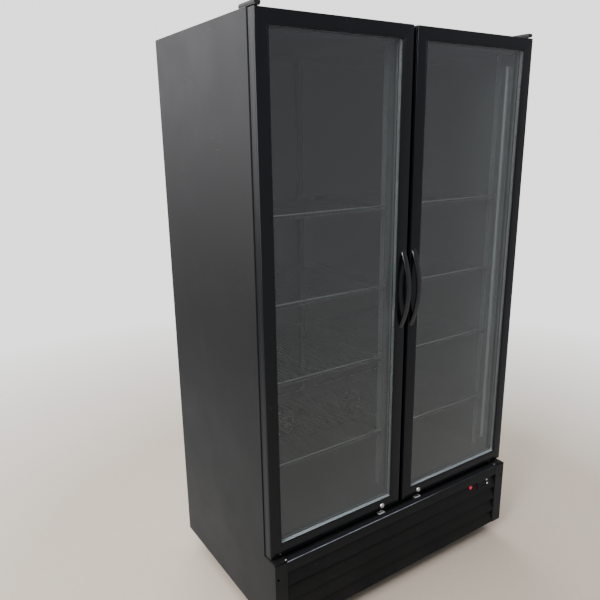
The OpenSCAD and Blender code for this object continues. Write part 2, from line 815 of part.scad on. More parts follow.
// A bow handle: the band between two arcs on one centre, cut off at the door's face
handle_t = 11;

module handle(right) {
  rise = handle_out;
  half = handle_len / 2;
  outer_r = (half * half + rise * rise) / (2 * rise);
  arc_y = door_front_y - rise + outer_r;
  x = door_x1 - handle_in;
  z = (door_z0 + door_z1) / 2;
  color([0.02, 0.02, 0.02]) handed(right)
    along_x([x - handle_w / 2, x + handle_w / 2])
      intersection() {
        difference() {
          translate([arc_y, z]) circle(outer_r, $fn = 180);
          translate([arc_y, z]) circle(outer_r - handle_t, $fn = 180);
        }
        translate([door_front_y - rise - 1, z - half - 1]) square([rise + 1, 2 * half + 2]);
      }
}

module lock_housing(right)
  color(steel) handed(right) translate([-lock_x, 0, lock_z])
    difference() {
      union() {
        rod_y(9.5, [door_front_y - 4, door_front_y]);
        rod_y(lock_barrel_r, [door_front_y, door_front_y + 4.5]);
      }
      rod_y(lock_plug_r + run_gap, [door_front_y - 5, door_front_y + 6]);
    }

// Plug and cam. The cam hangs straight down when down is true, and lies level when it isn't
module lock_plug(right, down)
  color(steel) handed(right) translate([-lock_x, 0, lock_z]) rotate([0, down ? 0 : -90, 0]) {
    difference() {
      rod_y(lock_plug_r, [door_front_y - 4.6, door_front_y + 8]);
      slab([-0.6, 0.6], [door_front_y - 5, door_front_y - 1.6], [-3.5, 3.5]);
    }
    cam_y = [door_front_y + 5, door_front_y + 5 + cam_t];
    slab([-cam_r, cam_r], cam_y, [-cam_reach + cam_r, 0]);
    rod_y(cam_r, cam_y);
    translate([0, 0, -cam_reach + cam_r]) rod_y(cam_r, cam_y);
  }

module hinge_bushes(right)
  color([0.80, 0.80, 0.76]) handed(right)
    for (end = [[door_z0, -1], [door_z1, 1]])
      translate([hinge_x, hinge_y, end[0]])
        difference() {
          union() {
            translate([0, 0, end[1] < 0 ? 0 : -bush_len]) cylinder(r = bush_r, h = bush_len);
            translate([0, 0, end[1] < 0 ? -1.5 : 0]) cylinder(r = 9, h = 1.5);
          }
          translate([0, 0, end[1] < 0 ? -2 : -bush_len - 1]) cylinder(r = pin_r + run_gap, h = bush_len + 3);
        }

module left_door_frame() door_frame(false);
module left_door_glass() door_glass(false);
module left_door_spacer() door_spacer(false);
module left_door_gasket() door_gasket(false);
module left_handle() handle(false);
module left_lock_housing() lock_housing(false);
module left_lock_plug() lock_plug(false, true);
module left_hinge_bushes() hinge_bushes(false);
module right_door_frame() door_frame(true);
module right_door_glass() door_glass(true);
module right_door_spacer() door_spacer(true);
module right_door_gasket() door_gasket(true);
module right_handle() handle(true);
module right_lock_housing() lock_housing(true);
module right_lock_plug() lock_plug(true, false);
module right_hinge_bushes() hinge_bushes(true);

left_side_panel();
right_side_panel();
top_panel();
rear_panel();
foam_insulation();
inner_liner();
front_frame();
center_posts();
base_chassis();
front_grille();
rear_grille();
compressor();
condenser_coil();
condenser_fan_shroud();
condenser_fan_blade();
refrigerant_pipes();
evaporator_coil();
evaporator_cover();
evaporator_fan_motors();
evaporator_fan_left();
evaporator_fan_right();
shelf_tracks();
shelf_clips();
shelves_left();
shelves_right();
led_channels();
led_diffusers();
controller_body();
button_up();
button_down();
switch_bezel();
switch_rocker();
top_hinge_brackets();
bottom_hinge_brackets();
lock_strikes();
screws();
cable_gland();
castor_mounts();
front_left_castor_fork();
front_right_castor_fork();
front_left_wheel();
front_right_wheel();
rear_left_wheel();
rear_right_wheel();
left_door_frame();
left_door_glass();
left_door_spacer();
left_door_gasket();
left_handle();
left_lock_housing();
left_lock_plug();
left_hinge_bushes();
right_door_frame();
right_door_glass();
right_door_spacer();
right_door_gasket();
right_handle();
right_lock_housing();
right_lock_plug();
right_hinge_bushes();
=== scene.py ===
import json
from math import acos, atan2, copysign, cos, pi, radians, sin

import bmesh
import bpy
from mathutils import Matrix, Vector


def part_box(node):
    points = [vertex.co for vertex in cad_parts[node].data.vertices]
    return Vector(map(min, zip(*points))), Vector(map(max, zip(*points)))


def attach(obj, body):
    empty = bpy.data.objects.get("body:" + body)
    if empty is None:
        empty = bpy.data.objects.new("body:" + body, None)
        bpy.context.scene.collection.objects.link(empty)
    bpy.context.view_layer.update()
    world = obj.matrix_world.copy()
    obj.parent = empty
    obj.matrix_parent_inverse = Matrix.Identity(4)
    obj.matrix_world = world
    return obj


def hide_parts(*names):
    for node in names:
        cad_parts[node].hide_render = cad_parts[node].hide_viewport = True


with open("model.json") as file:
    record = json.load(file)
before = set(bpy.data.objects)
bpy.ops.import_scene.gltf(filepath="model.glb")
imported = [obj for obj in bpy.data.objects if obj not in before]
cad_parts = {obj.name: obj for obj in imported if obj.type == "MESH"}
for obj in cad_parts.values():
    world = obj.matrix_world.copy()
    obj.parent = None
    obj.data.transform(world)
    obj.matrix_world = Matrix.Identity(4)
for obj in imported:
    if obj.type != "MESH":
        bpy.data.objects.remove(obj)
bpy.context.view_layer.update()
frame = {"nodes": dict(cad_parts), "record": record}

MM = 0.001
WELD = 2e-6  # vertices closer than this are one
X, Y, Z = Vector((1, 0, 0)), Vector((0, 1, 0)), Vector((0, 0, 1))

# ---- Places, all read from the frame ----

SHELL_LO, SHELL_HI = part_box("left_side_panel")
HALF_W = -SHELL_LO.x
BACK_Y = SHELL_HI.y
BASE_Y = SHELL_LO.y
CLEAR_Z = SHELL_LO.z
ROOF_Z = SHELL_HI.z
FACE_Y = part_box("front_frame")[0].y
LEDGE_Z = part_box("front_grille")[1].z
GRILLE_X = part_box("front_grille")[1].x
SHEET = SHELL_HI.x - SHELL_LO.x
GLASS_LO, GLASS_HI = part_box("left_door_glass")
SIDES = (("left", False), ("right", True))
NODE_SLOT = {part["node"]: part["material_slot"] for part in frame["record"]["subparts"]}
NODE_BODY = {
    node: body for body, nodes in frame["record"]["behaviour"]["bodies"].items() for node in nodes
}


# ---- Mesh building ----

def in_mm(points):
    """Points written in millimetres, as metres."""
    return [tuple(number * MM for number in point) for point in points]


def arc(centre, radius, start, end, steps):
    """Points along an arc, with the angles in degrees."""
    angles = [radians(start + (end - start) * i / steps) for i in range(steps + 1)]
    return [(centre[0] + radius * cos(a), centre[1] + radius * sin(a)) for a in angles]


def rounded(lo, hi, radius, steps=5):
    """A rectangle with round corners, anticlockwise."""
    (x0, y0), (x1, y1) = lo, hi
    return (
        arc((x1 - radius, y0 + radius), radius, -90, 0, steps)
        + arc((x1 - radius, y1 - radius), radius, 0, 90, steps)
        + arc((x0 + radius, y1 - radius), radius, 90, 180, steps)
        + arc((x0 + radius, y0 + radius), radius, 180, 270, steps)
    )


def thick_line(points, thickness):
    """The outline of a bent sheet: a polyline, and the same line set off to its left by thickness."""
    pts = [Vector(p) for p in points]
    normals = [Vector((a.y - b.y, b.x - a.x)).normalized() for a, b in zip(pts, pts[1:])]
    offset = []
    for i, p in enumerate(pts):
        before, after = normals[max(i - 1, 0)], normals[min(i, len(normals) - 1)]
        between = (before + after).normalized()
        offset.append(p + between * (thickness / max(between.dot(after), 0.3)))
    return [tuple(p) for p in pts] + [tuple(p) for p in reversed(offset)]


# How an outline's two coordinates and the extrusion map to X, Y and Z
PLACES = {
    "x": lambda u, v, w: Vector((w, u, v)),
    "y": lambda u, v, w: Vector((u, w, v)),
    "z": lambda u, v, w: Vector((u, v, w)),
}


class Shape:
    """Collects closed parts, then makes them into one piece of the model."""

    def __init__(self):
        self.bm = bmesh.new()

    def solid(self, rings, closed=False):
        """Joins rings of points into a closed skin, with a face on each end unless the rings close up."""
        rows = [[self.bm.verts.new(p) for p in ring] for ring in rings]
        count = len(rows[0])
        pairs = list(zip(rows, rows[1:])) + ([(rows[-1], rows[0])] if closed else [])
        for a, b in pairs:
            for i in range(count):
                j = (i + 1) % count
                self.bm.faces.new((a[i], a[j], b[j], b[i]))
        if not closed:
            self.bm.faces.new(list(reversed(rows[0])))
            self.bm.faces.new(rows[-1])
        return self

    def prism(self, outline, axis, start, end):
        """An outline extruded along an axis. It is (y, z) for x, (x, z) for y and (x, y) for z."""
        place = PLACES[axis]
        return self.solid([[place(u, v, w) for u, v in outline] for w in (start, end)])

    def box(self, lo, hi):
        outline = [(lo[0], lo[1]), (hi[0], lo[1]), (hi[0], hi[1]), (lo[0], hi[1])]
        return self.prism(outline, "z", lo[2], hi[2])

    def plate(self, outline, holes, axis, start, end):
        """A flat sheet with holes, each given as an outline."""
        place = PLACES[axis]
        edges = []
        for loop in [outline, *holes]:
            verts = [self.bm.verts.new(place(u, v, start)) for u, v in loop]
            edges += [self.bm.edges.new((a, b)) for a, b in zip(verts, verts[1:] + verts[:1])]
        made = bmesh.ops.triangle_fill(self.bm, use_beauty=True, edges=edges)["geom"]
        faces = [g for g in made if isinstance(g, bmesh.types.BMFace)]
        grown = bmesh.ops.extrude_face_region(self.bm, geom=faces, use_keep_orig=True)["geom"]
        shift = place(0, 0, end) - place(0, 0, start)
        raised = [g for g in grown if isinstance(g, bmesh.types.BMVert)]
        bmesh.ops.translate(self.bm, vec=shift, verts=raised)
        return self

    def lathe(self, profile, centre, axis, turns=40):
        """A profile of (radius, height) points turned about an axis through centre."""
        centre, axis = Vector(centre), Vector(axis).normalized()
        side = axis.orthogonal().normalized()
        other = axis.cross(side)
        rings = []
        for i in range(turns):
            a = 2 * pi * i / turns
            out = side * cos(a) + other * sin(a)
            rings.append([centre + out * max(r, 1e-6) + axis * h for r, h in profile])
        return self.solid(rings, closed=True)

    def tube(self, points, radius, sides=10, closed=False):
        """A round bar through points, with its rings turned smoothly from one to the next."""
        pts = [Vector(p) for p in points]
        count = len(pts)
        ahead = [
            (pts[(i + 1) % count] - pts[i - 1]) if closed
            else (pts[min(i + 1, count - 1)] - pts[max(i - 1, 0)])
            for i in range(count)
        ]
        side = ahead[0].orthogonal().normalized()
        rings = []
        for p, d in zip(pts, ahead):
            d = d.normalized()
            side = (side - d * side.dot(d)).normalized()
            other = d.cross(side)
            rings.append([
                p + (side * cos(2 * pi * k / sides) + other * sin(2 * pi * k / sides)) * radius
                for k in range(sides)
            ])
        return self.solid(rings, closed=closed)

    def move(self, matrix, first=0):
        """Moves the vertices made since the first one given."""
        self.bm.verts.ensure_lookup_table()
        bmesh.ops.transform(self.bm, matrix=matrix, verts=self.bm.verts[first:])
        return self

    def piece(self, name, node, finish=None, slot=None, mirror=False, bevel=0.0, steps=2, smooth=32):
        """The finished object. It rides on the body of the CAD node that it stands for.

        Its slot is the node's own unless another is given, and its finish is the slot's.
        """
        if mirror:
            bmesh.ops.scale(self.bm, vec=(-1, 1, 1), verts=self.bm.verts)
        bmesh.ops.remove_doubles(self.bm, verts=self.bm.verts, dist=WELD)
        bmesh.ops.dissolve_degenerate(self.bm, edges=self.bm.edges, dist=1e-6)
        bmesh.ops.recalc_face_normals(self.bm, faces=self.bm.faces)
        mesh = bpy.data.meshes.new(name)
        self.bm.to_mesh(mesh)
        self.bm.free()
        mesh.shade_smooth()
        mesh.set_sharp_from_angle(angle=radians(smooth))
        slot = slot or NODE_SLOT[node]
        mesh.materials.append(FINISHES[finish or slot])
        obj = bpy.data.objects.new(name, mesh)
        bpy.context.collection.objects.link(obj)
        if bevel:
            rounding = obj.modifiers.new("round edges", "BEVEL")
            rounding.width = bevel
            rounding.segments = steps
            rounding.limit_method = "ANGLE"
            rounding.angle_limit = radians(smooth)
            rounding.use_clamp_overlap = True
            rounding.harden_normals = True
        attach(obj, NODE_BODY[node])
        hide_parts(node)
        return obj


def solids_of(node):
    """The box of each separate solid in a CAD node."""
    bm = bmesh.new()
    bm.from_mesh(frame["nodes"][node].data)
    bmesh.ops.remove_doubles(bm, verts=bm.verts, dist=1e-5)
    found, seen = [], set()
    for start in bm.verts:
        if start in seen:
            continue
        group, todo = [], [start]
        seen.add(start)
        while todo:
            v = todo.pop()
            group.append(v.co.copy())
            for e in v.link_edges:
                w = e.other_vert(v)
                if w not in seen:
                    seen.add(w)
                    todo.append(w)
        lo = Vector([min(p[i] for p in group) for i in range(3)])
        hi = Vector([max(p[i] for p in group) for i in range(3)])
        found.append((lo, hi))
    bm.free()
    return found


def middle(lo, hi):
    return (lo + hi) / 2


# ---- Materials ----

FINISHES = {}


class Finish:
    """A Principled material, kept in FINISHES. Its patterns read the piece's own coordinates, in metres."""

    def __init__(self, name, colour, rough=0.5, metal=0.0, **sockets):
        material = bpy.data.materials.new(name)
        material.use_nodes = True
        FINISHES[name] = material
        self.tree = material.node_tree
        self.shader = self.tree.nodes["Principled BSDF"]
        self.colour = (*colour, 1.0)
        self.shader.inputs["Base Color"].default_value = self.colour
        self.shader.inputs["Roughness"].default_value = rough
        self.shader.inputs["Metallic"].default_value = metal
        for key, value in sockets.items():
            self.shader.inputs[key.replace("_", " ")].default_value = value
        self.place = self.tree.nodes.new("ShaderNodeTexCoord").outputs["Object"]

    def add(self, kind, **inputs):
        node = self.tree.nodes.new("ShaderNode" + kind)
        for key, value in inputs.items():
            socket = node.inputs[key]
            if isinstance(value, bpy.types.NodeSocket):
                self.tree.links.new(value, socket)
            else:
                socket.default_value = value
        return node

    def stretched(self, stretch):
        return self.add("Mapping", Vector=self.place, Scale=stretch).outputs[0]

    def noise(self, scale, detail=2.0, stretch=(1, 1, 1), rough=0.5):
        node = self.add(
            "TexNoise", Vector=self.stretched(stretch), Scale=scale, Detail=detail, Roughness=rough
        )
        return node.outputs[0]

    def cells(self, scale, stretch=(1, 1, 1)):
        """Distance to the nearest of a scatter of points."""
        return self.add("TexVoronoi", Vector=self.stretched(stretch), Scale=scale).outputs[0]

    def band(self, value, low, high, out_low=0.0, out_high=1.0):
        """Maps value from low..high to out_low..out_high, held at both ends."""
        node = self.add("MapRange", Value=value)
        for key, number in zip((1, 2, 3, 4), (low, high, out_low, out_high)):
            node.inputs[key].default_value = number
        return node.outputs[0]

    def maths(self, operation, a, b):
        node = self.tree.nodes.new("ShaderNodeMath")
        node.operation = operation
        for socket, value in zip(node.inputs, (a, b)):
            if isinstance(value, bpy.types.NodeSocket):
                self.tree.links.new(value, socket)
            else:
                socket.default_value = value
        return node.outputs[0]

    def height(self, axis):
        """The piece's own X, Y or Z coordinate."""
        return self.add("SeparateXYZ", Vector=self.place).outputs[axis]

    def tint(self, mask, colour):
        """Lays a colour over what the base colour is so far, where mask is 1."""
        base = self.shader.inputs["Base Color"]
        mix = self.tree.nodes.new("ShaderNodeMix")
        mix.data_type = "RGBA"
        self.tree.links.new(mask, mix.inputs["Factor"])
        if base.is_linked:
            self.tree.links.new(base.links[0].from_socket, mix.inputs[6])
        else:
            mix.inputs[6].default_value = self.colour
        mix.inputs[7].default_value = (*colour, 1.0)
        self.tree.links.new(mix.outputs[2], base)

    def clouds(self, colour, scale, detail, low, high, most):
        """Tints in soft patches, up to a share of most."""
        self.tint(self.band(self.noise(scale, detail), low, high, 0.0, most), colour)

    def rough(self, value):
        self.tree.links.new(value, self.shader.inputs["Roughness"])

    def sheen(self, scale, detail, low, high):
        """Roughness that wanders between low and high."""
        self.rough(self.band(self.noise(scale, detail), 0.3, 0.7, low, high))

    def bump(self, value, strength, depth):
        """Adds relief of a given depth, in metres, on top of any already there."""
        node = self.add("Bump", Strength=strength, Distance=depth, Height=value)
        normal = self.shader.inputs["Normal"]
        if normal.is_linked:
            self.tree.links.new(normal.links[0].from_socket, node.inputs["Normal"])
        self.tree.links.new(node.outputs[0], normal)


def scratches(f, scale, stretch, width):
    """A mask of a few fine lines along the stretched direction."""
    lines = f.noise(scale, 0.0, stretch)
    thin = f.band(f.maths("ABSOLUTE", f.maths("SUBTRACT", lines, 0.5), 0.0), 0.0, width, 1.0, 0.0)
    patches = f.band(f.noise(5.0, 1.0), 0.60, 0.66)
    return f.maths("MULTIPLY", thin, patches)


def dust(f, scale, size, low=0.55):
    """A mask of small specks, in patches."""
    dots = f.band(f.cells(scale), size * 0.5, size, 1.0, 0.0)
    return f.maths("MULTIPLY", dots, f.band(f.noise(scale * 0.31, 2.0), low, low + 0.12))


def powder_coat(name, colour, rough, wear, gloss=0.5, peel=0.00004):
    """Satin powder coat with a fine orange peel, handling marks, dust and scratches."""
    f = Finish(name, colour, rough, Specular_IOR_Level=gloss)
    smudge = f.noise(6.0, 4.0)
    f.rough(f.band(smudge, 0.3, 0.7, rough - 0.04, rough + 0.06))
    f.clouds([c * 1.25 + 0.001 for c in colour], 2.3, 3.0, 0.35, 0.75, 0.30)
    f.tint(f.maths("MULTIPLY", scratches(f, 26.0, (1, 1, 6.0), 0.006), wear), (0.12, 0.12, 0.12))
    f.tint(f.maths("MULTIPLY", dust(f, 150.0, 0.10), 0.5 * wear), (0.20, 0.19, 0.17))
    low = f.band(f.height(2), 0.07, 0.40, 0.25 * wear, 0.0)
    f.tint(f.maths("MULTIPLY", low, f.band(f.noise(9.0, 5.0), 0.35, 0.7)), (0.060, 0.048, 0.042))
    f.bump(f.noise(620.0, 1.0), 0.2, peel)
    f.bump(f.noise(3.0, 1.0), 0.08, 0.001)
    return f


def gloss_coat():
    """Deep black gloss of the door frames, a little wavy, with fine hairlines."""
    f = Finish("frame_gloss", (0.0028, 0.0031, 0.0042), 0.18, Specular_IOR_Level=0.36)
    f.rough(f.band(f.noise(14.0, 5.0), 0.3, 0.75, 0.13, 0.24))
    f.tint(scratches(f, 60.0, (1, 1, 0.12), 0.004), (0.03, 0.03, 0.034))
    f.tint(f.maths("MULTIPLY", dust(f, 240.0, 0.09), 0.4), (0.10, 0.10, 0.10))
    f.bump(f.noise(420.0, 1.0), 0.10, 0.00004)
    f.bump(f.noise(7.0, 1.0), 0.05, 0.0008)


def grille_band():
    """The grille's paint, with a painted highlight along the front bend of the ledge that is patchy and
    strongest on the left, and its top face painted a little lighter as if lit from above.
    """
    f = powder_coat("grille_band_paint", (0.0040, 0.0041, 0.0044), 0.42, 0.3, 0.24)
    # Painted highlight on the front bend of the ledge, patchy and fading towards the right.
    near_top = f.band(f.height(2), LEDGE_Z - 1.6 * MM, LEDGE_Z - 0.5 * MM)
    near_front = f.band(f.height(1), BASE_Y + 1.4 * MM, BASE_Y + 2.6 * MM, 1.0, 0.0)
    patchy = f.band(f.noise(30.0, 3.0), 0.25, 0.6, 0.35, 1.0)
    left = f.band(f.height(0), 0.02, 0.20, 1.0, 0.12)
    painted_highlight = f.maths("MULTIPLY", f.maths("MULTIPLY", near_top, near_front), f.maths("MULTIPLY", patchy, left))
    # Painted light: the ledge's top face is painted a little lighter, as if lit from above.
    f.tint(f.band(f.height(2), LEDGE_Z - 0.3 * MM, LEDGE_Z - 0.1 * MM), (0.010, 0.010, 0.0125))
    f.tint(painted_highlight, (0.24, 0.26, 0.31))


def moulded(name, colour, rough, grain=900.0, depth=0.00008, **sockets):
    """Moulded plastic or rubber with a fine grain and slightly uneven sheen."""
    f = Finish(name, colour, rough, **sockets)
    f.sheen(40.0, 3.0, max(rough - 0.06, 0.03), rough + 0.08)
    f.clouds([c * 1.5 + 0.004 for c in colour], 12.0, 3.0, 0.45, 0.8, 0.4)
    f.tint(f.maths("MULTIPLY", dust(f, 320.0, 0.12), 0.35), (0.25, 0.24, 0.22))
    f.bump(f.noise(grain, 1.0), 0.25, depth)


def zinc_sheet(name, colour, rough):
    """Galvanised sheet with its faint spangle."""
    f = Finish(name, colour, rough, 0.9)
    spangle = f.cells(90.0)
    f.rough(f.band(spangle, 0.0, 0.9, rough - 0.10, rough + 0.12))
    f.tint(f.band(spangle, 0.1, 0.7, 0.0, 0.35), [c * 0.75 for c in colour])
    f.clouds((0.33, 0.33, 0.34), 5.0, 4.0, 0.55, 0.8, 0.4)
    f.bump(f.noise(300.0, 2.0), 0.15, 0.00005)


def bright_metal(name, colour, rough, metal=1.0):
    """Drawn or turned metal with a fine grain."""
    f = Finish(name, colour, rough, metal)
    grain = f.noise(300.0, 3.0)
    f.rough(f.band(grain, 0.3, 0.7, max(rough - 0.05, 0.02), rough + 0.08))
    f.clouds([c * 0.7 for c in colour], 60.0, 3.0, 0.5, 0.8, 0.4)
    f.bump(grain, 0.12, 0.00003)


def spacer_bar():
    """Painted highlight along the foot of the door, where the bar faces up into the light, and painted
    shade up the sides, with breathing holes all along.
    """
    pitch = 5 * MM
    f = Finish("spacer_aluminium", (0.80, 0.88, 0.98), 0.34, 0.25)
    # Painted shade: above the foot the pale bar is painted dull, so only the foot carries the painted
    # highlight.
    f.tint(f.band(f.height(2), GLASS_LO.z + 9 * MM, GLASS_LO.z + 12 * MM), (0.095, 0.10, 0.10))
    along = f.maths("ADD", f.height(0), f.height(2))
    wave = f.maths("SINE", f.maths("MULTIPLY", along, 2 * pi / pitch), 0.0)
    middle_y = (GLASS_LO.y + GLASS_HI.y) / 2
    off = f.maths("ABSOLUTE", f.maths("SUBTRACT", f.height(1), middle_y), 0.0)
    holes = f.maths("MULTIPLY", f.band(wave, 0.70, 0.90), f.band(off, 0.6 * MM, 0.9 * MM, 1.0, 0.0))
    f.tint(f.maths("MULTIPLY", holes, 0.8), (0.04, 0.045, 0.05))
    f.sheen(120.0, 3.0, 0.24, 0.40)
    f.bump(holes, 0.3, 0.0002)


def glazing_bead():
    """Grey bead behind the glass, moulded with a close diagonal rib."""
    pitch = 6 * MM
    f = Finish("glazing_bead", (0.085, 0.090, 0.088), 0.5)
    along = f.maths("ADD", f.maths("ADD", f.height(0), f.height(2)), f.maths("MULTIPLY", f.height(1), 1.4))
    rib = f.band(f.maths("SINE", f.maths("MULTIPLY", along, 2 * pi / pitch), 0.0), -0.4, 0.4)
    f.tint(rib, (0.020, 0.022, 0.022))
    f.sheen(60.0, 3.0, 0.42, 0.60)
    f.bump(rib, 0.5, 0.0003)


def window_glass():
    """Clear glass that lets lamps light the inside, with a faint haze of finger marks."""
    f = Finish("glass", (0.90, 0.92, 0.91), 0.0, Transmission_Weight=1.0, IOR=1.455)
    f.rough(f.band(f.noise(4.0, 5.0), 0.45, 0.8, 0.0, 0.004))
    lamps = f.add("LightPath").outputs["Is Shadow Ray"]
    clear = f.add("BsdfTransparent", Color=(0.85, 0.88, 0.88, 1.0))
    mix = f.add("MixShader", Fac=lamps)
    f.tree.links.new(f.shader.outputs[0], mix.inputs[1])
    f.tree.links.new(clear.outputs[0], mix.inputs[2])
    f.tree.links.new(mix.outputs[0], f.tree.nodes["Material Output"].inputs["Surface"])


def shelf_wire():
    """Dark epoxy over steel wire, thin enough on top to show a little of the metal."""
    f = Finish("shelf_wire", (0.020, 0.021, 0.021), 0.42, Specular_IOR_Level=0.4)
    f.clouds((0.045, 0.046, 0.046), 45.0, 4.0, 0.55, 0.75, 0.6)
    f.sheen(80.0, 3.0, 0.34, 0.52)
    f.bump(f.noise(900.0, 1.0), 0.15, 0.00003)


def foam_block():
    f = Finish("foam", (0.80, 0.70, 0.45), 0.9)
    f.tint(f.band(f.noise(30.0, 4.0), 0.4, 0.7), (0.66, 0.55, 0.32))
    f.bump(f.cells(500.0), 0.6, 0.0004)


def fin_pack():
    """Thin aluminium fins, seen edge on."""
    f = Finish("coil_fins", (0.36, 0.365, 0.37), 0.5, 0.9)
    f.clouds((0.20, 0.195, 0.185), 20.0, 4.0, 0.45, 0.75, 0.6)
    f.bump(f.noise(260.0, 2.0), 0.2, 0.0001)


def copper_pipe():
    f = Finish("copper", (0.80, 0.42, 0.26), 0.3, 1.0)
    f.clouds((0.36, 0.17, 0.10), 35.0, 5.0, 0.45, 0.7, 0.7)
    f.sheen(50.0, 4.0, 0.22, 0.5)
    f.bump(f.noise(200.0, 2.0), 0.1, 0.00005)


powder_coat("cabinet_paint", (0.0040, 0.0040, 0.0042), 0.36, 0.6, 0.32)
powder_coat("grille_paint", (0.0032, 0.0034, 0.0033), 0.42, 0.3, 0.24)
grille_band()
gloss_coat()
powder_coat("liner", (0.024, 0.0245, 0.024), 0.55, 0.0, 0.3, 0.000005)
moulded("black_trim", (0.012, 0.012, 0.013), 0.55)
zinc_sheet("galvanised", (0.60, 0.61, 0.62), 0.42)
# A darker copy of the galvanised finish, painted shade for the parts inside the cabinet.
zinc_sheet("shade_darkened_zinc", (0.20, 0.205, 0.205), 0.5)
foam_block()
powder_coat("compressor_black", (0.010, 0.010, 0.011), 0.35, 0.3)
fin_pack()
moulded("fan_plastic", (0.018, 0.018, 0.020), 0.5)
copper_pipe()
shelf_wire()
bright_metal("shelf_rail", (0.38, 0.395, 0.395), 0.34)
spacer_bar()
moulded("led_diffuser", (0.14, 0.145, 0.145), 0.45, 700.0, 0.00003)
moulded("control_black", (0.005, 0.005, 0.006), 0.30, 1400.0, 0.00003, Specular_IOR_Level=0.3)
moulded("display_window", (0.003, 0.003, 0.004), 0.08, 100.0, 0.00001, Specular_IOR_Level=0.3)
moulded("button_white", (0.90, 0.90, 0.90), 0.35, 1400.0, 0.00002)
moulded("switch_red", (1.0, 0.012, 0.060), 0.26, 700.0, 0.00002, Coat_Weight=0.2)
powder_coat("hinge_black", (0.0060, 0.0060, 0.0064), 0.36, 0.5)
bright_metal("chrome", (0.90, 0.88, 0.85), 0.20)
bright_metal("screw_steel", (0.62, 0.62, 0.63), 0.28)
bright_metal("strike_zinc", (0.48, 0.48, 0.48), 0.35, 0.3)
moulded("wheel_rubber", (0.022, 0.022, 0.023), 0.62, 500.0, 0.00015)
moulded("gasket", (0.010, 0.010, 0.011), 0.58, 700.0, 0.0001)
moulded("handle_gloss", (0.0024, 0.0024, 0.0030), 0.14, 1600.0, 0.00002, Specular_IOR_Level=0.8)
moulded("bush_nylon", (0.72, 0.72, 0.67), 0.45)
window_glass()
glazing_bead()


# ---- Cabinet shell ----

def side_panel(side, flip):
    """Outer side sheet in one piece, with its edges folded over a small radius."""
    outline = [
        (BASE_Y, CLEAR_Z), (BACK_Y, CLEAR_Z), (BACK_Y, ROOF_Z),
        (FACE_Y, ROOF_Z), (FACE_Y, LEDGE_Z), (BASE_Y, LEDGE_Z),
    ]
    Shape().prism(outline, "x", -HALF_W, -HALF_W + SHEET).piece(
        f"{side}_side_panel_sheet", f"{side}_side_panel", mirror=flip, bevel=0.7 * MM, steps=3
    )


def top_panel():
    """Roof sheet with two shallow pressed fields that keep it flat."""
    lo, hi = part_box("top_panel")
    shape = Shape().box(lo, hi)
    front, edge, half_gap = 120 * MM, 60 * MM, 30 * MM
    for x0, x1 in ((lo.x + edge, -half_gap), (half_gap, hi.x - edge)):
        field = rounded((x0, lo.y + front), (x1, hi.y - edge), 30 * MM)
        shape.prism(field, "z", hi.z - 0.2 * MM, hi.z + 1.2 * MM)
    shape.piece("roof_sheet", "top_panel", bevel=0.6 * MM)


def rear_panel():
    """Galvanised back with upright pressed ribs."""
    lo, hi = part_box("rear_panel")
    shape = Shape().box(lo, hi)
    ribs, half_wide, end = 6, 12 * MM, 100 * MM
    for i in range(ribs):
        x = lo.x + (hi.x - lo.x) * (i + 0.5) / ribs
        rib = rounded((x - half_wide, lo.z + end), (x + half_wide, hi.z - end), half_wide - 0.2 * MM)
        shape.prism(rib, "y", hi.y - 0.2 * MM, hi.y + 1.1 * MM)
    shape.piece("back_sheet", "rear_panel", bevel=0.5 * MM)


def base():
    """Machine base: deck, floor pan with a raised rim, folded front posts and rear angles."""
    lo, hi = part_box("base_chassis")
    sheet, rim = 1.5 * MM, 1.2 * MM
    deck_lo, pan_hi = hi.z - sheet, lo.z + sheet
    hole_x, hole_z = 548 * MM, 284 * MM
    shape = Shape().box((lo.x, lo.y + rim, deck_lo), (hi.x, hi.y, hi.z))
    pan_y = (lo.y + 18 * MM, hi.y - 10 * MM)
    shape.box((lo.x, pan_y[0], lo.z), (hi.x, pan_y[1], pan_hi))
    shape.box((lo.x, pan_y[0], pan_hi), (hi.x, pan_y[0] + rim, lo.z + 14 * MM))
    for s in (-1, 1):
        inner, outer = s * (GRILLE_X + 0.5 * MM), s * (HALF_W - SHEET)
        x0, x1 = sorted((inner, outer))
        hole = arc((s * hole_x, hole_z), 4 * MM, 0, 345, 23)
        face = [(x0, lo.z), (x1, lo.z), (x1, deck_lo), (x0, deck_lo)]
        shape.plate(face, [hole], "y", lo.y, lo.y + sheet)
        a, b = sorted((inner, inner + s * sheet))
        shape.box((a, lo.y + sheet, pan_hi), (b, lo.y + 30 * MM, deck_lo))
        a, b = sorted((outer, outer - s * 30 * MM))
        shape.box((a, hi.y - 12 * MM, pan_hi), (b, hi.y - 10.5 * MM, deck_lo))
    shape.piece("machine_base", "base_chassis", bevel=0.5 * MM)


def softened(node, finish=None):
    """A CAD shape that is right, made again with its sharp edges rounded."""
    shape = Shape()
    shape.bm.from_mesh(frame["nodes"][node].data)
    bmesh.ops.remove_doubles(shape.bm, verts=shape.bm.verts, dist=WELD)
    bmesh.ops.dissolve_limit(
        shape.bm, angle_limit=radians(0.6), verts=shape.bm.verts, edges=shape.bm.edges
    )
    shape.piece(node + "_rounded", node, finish, bevel=0.4 * MM)


# ---- Front grille ----

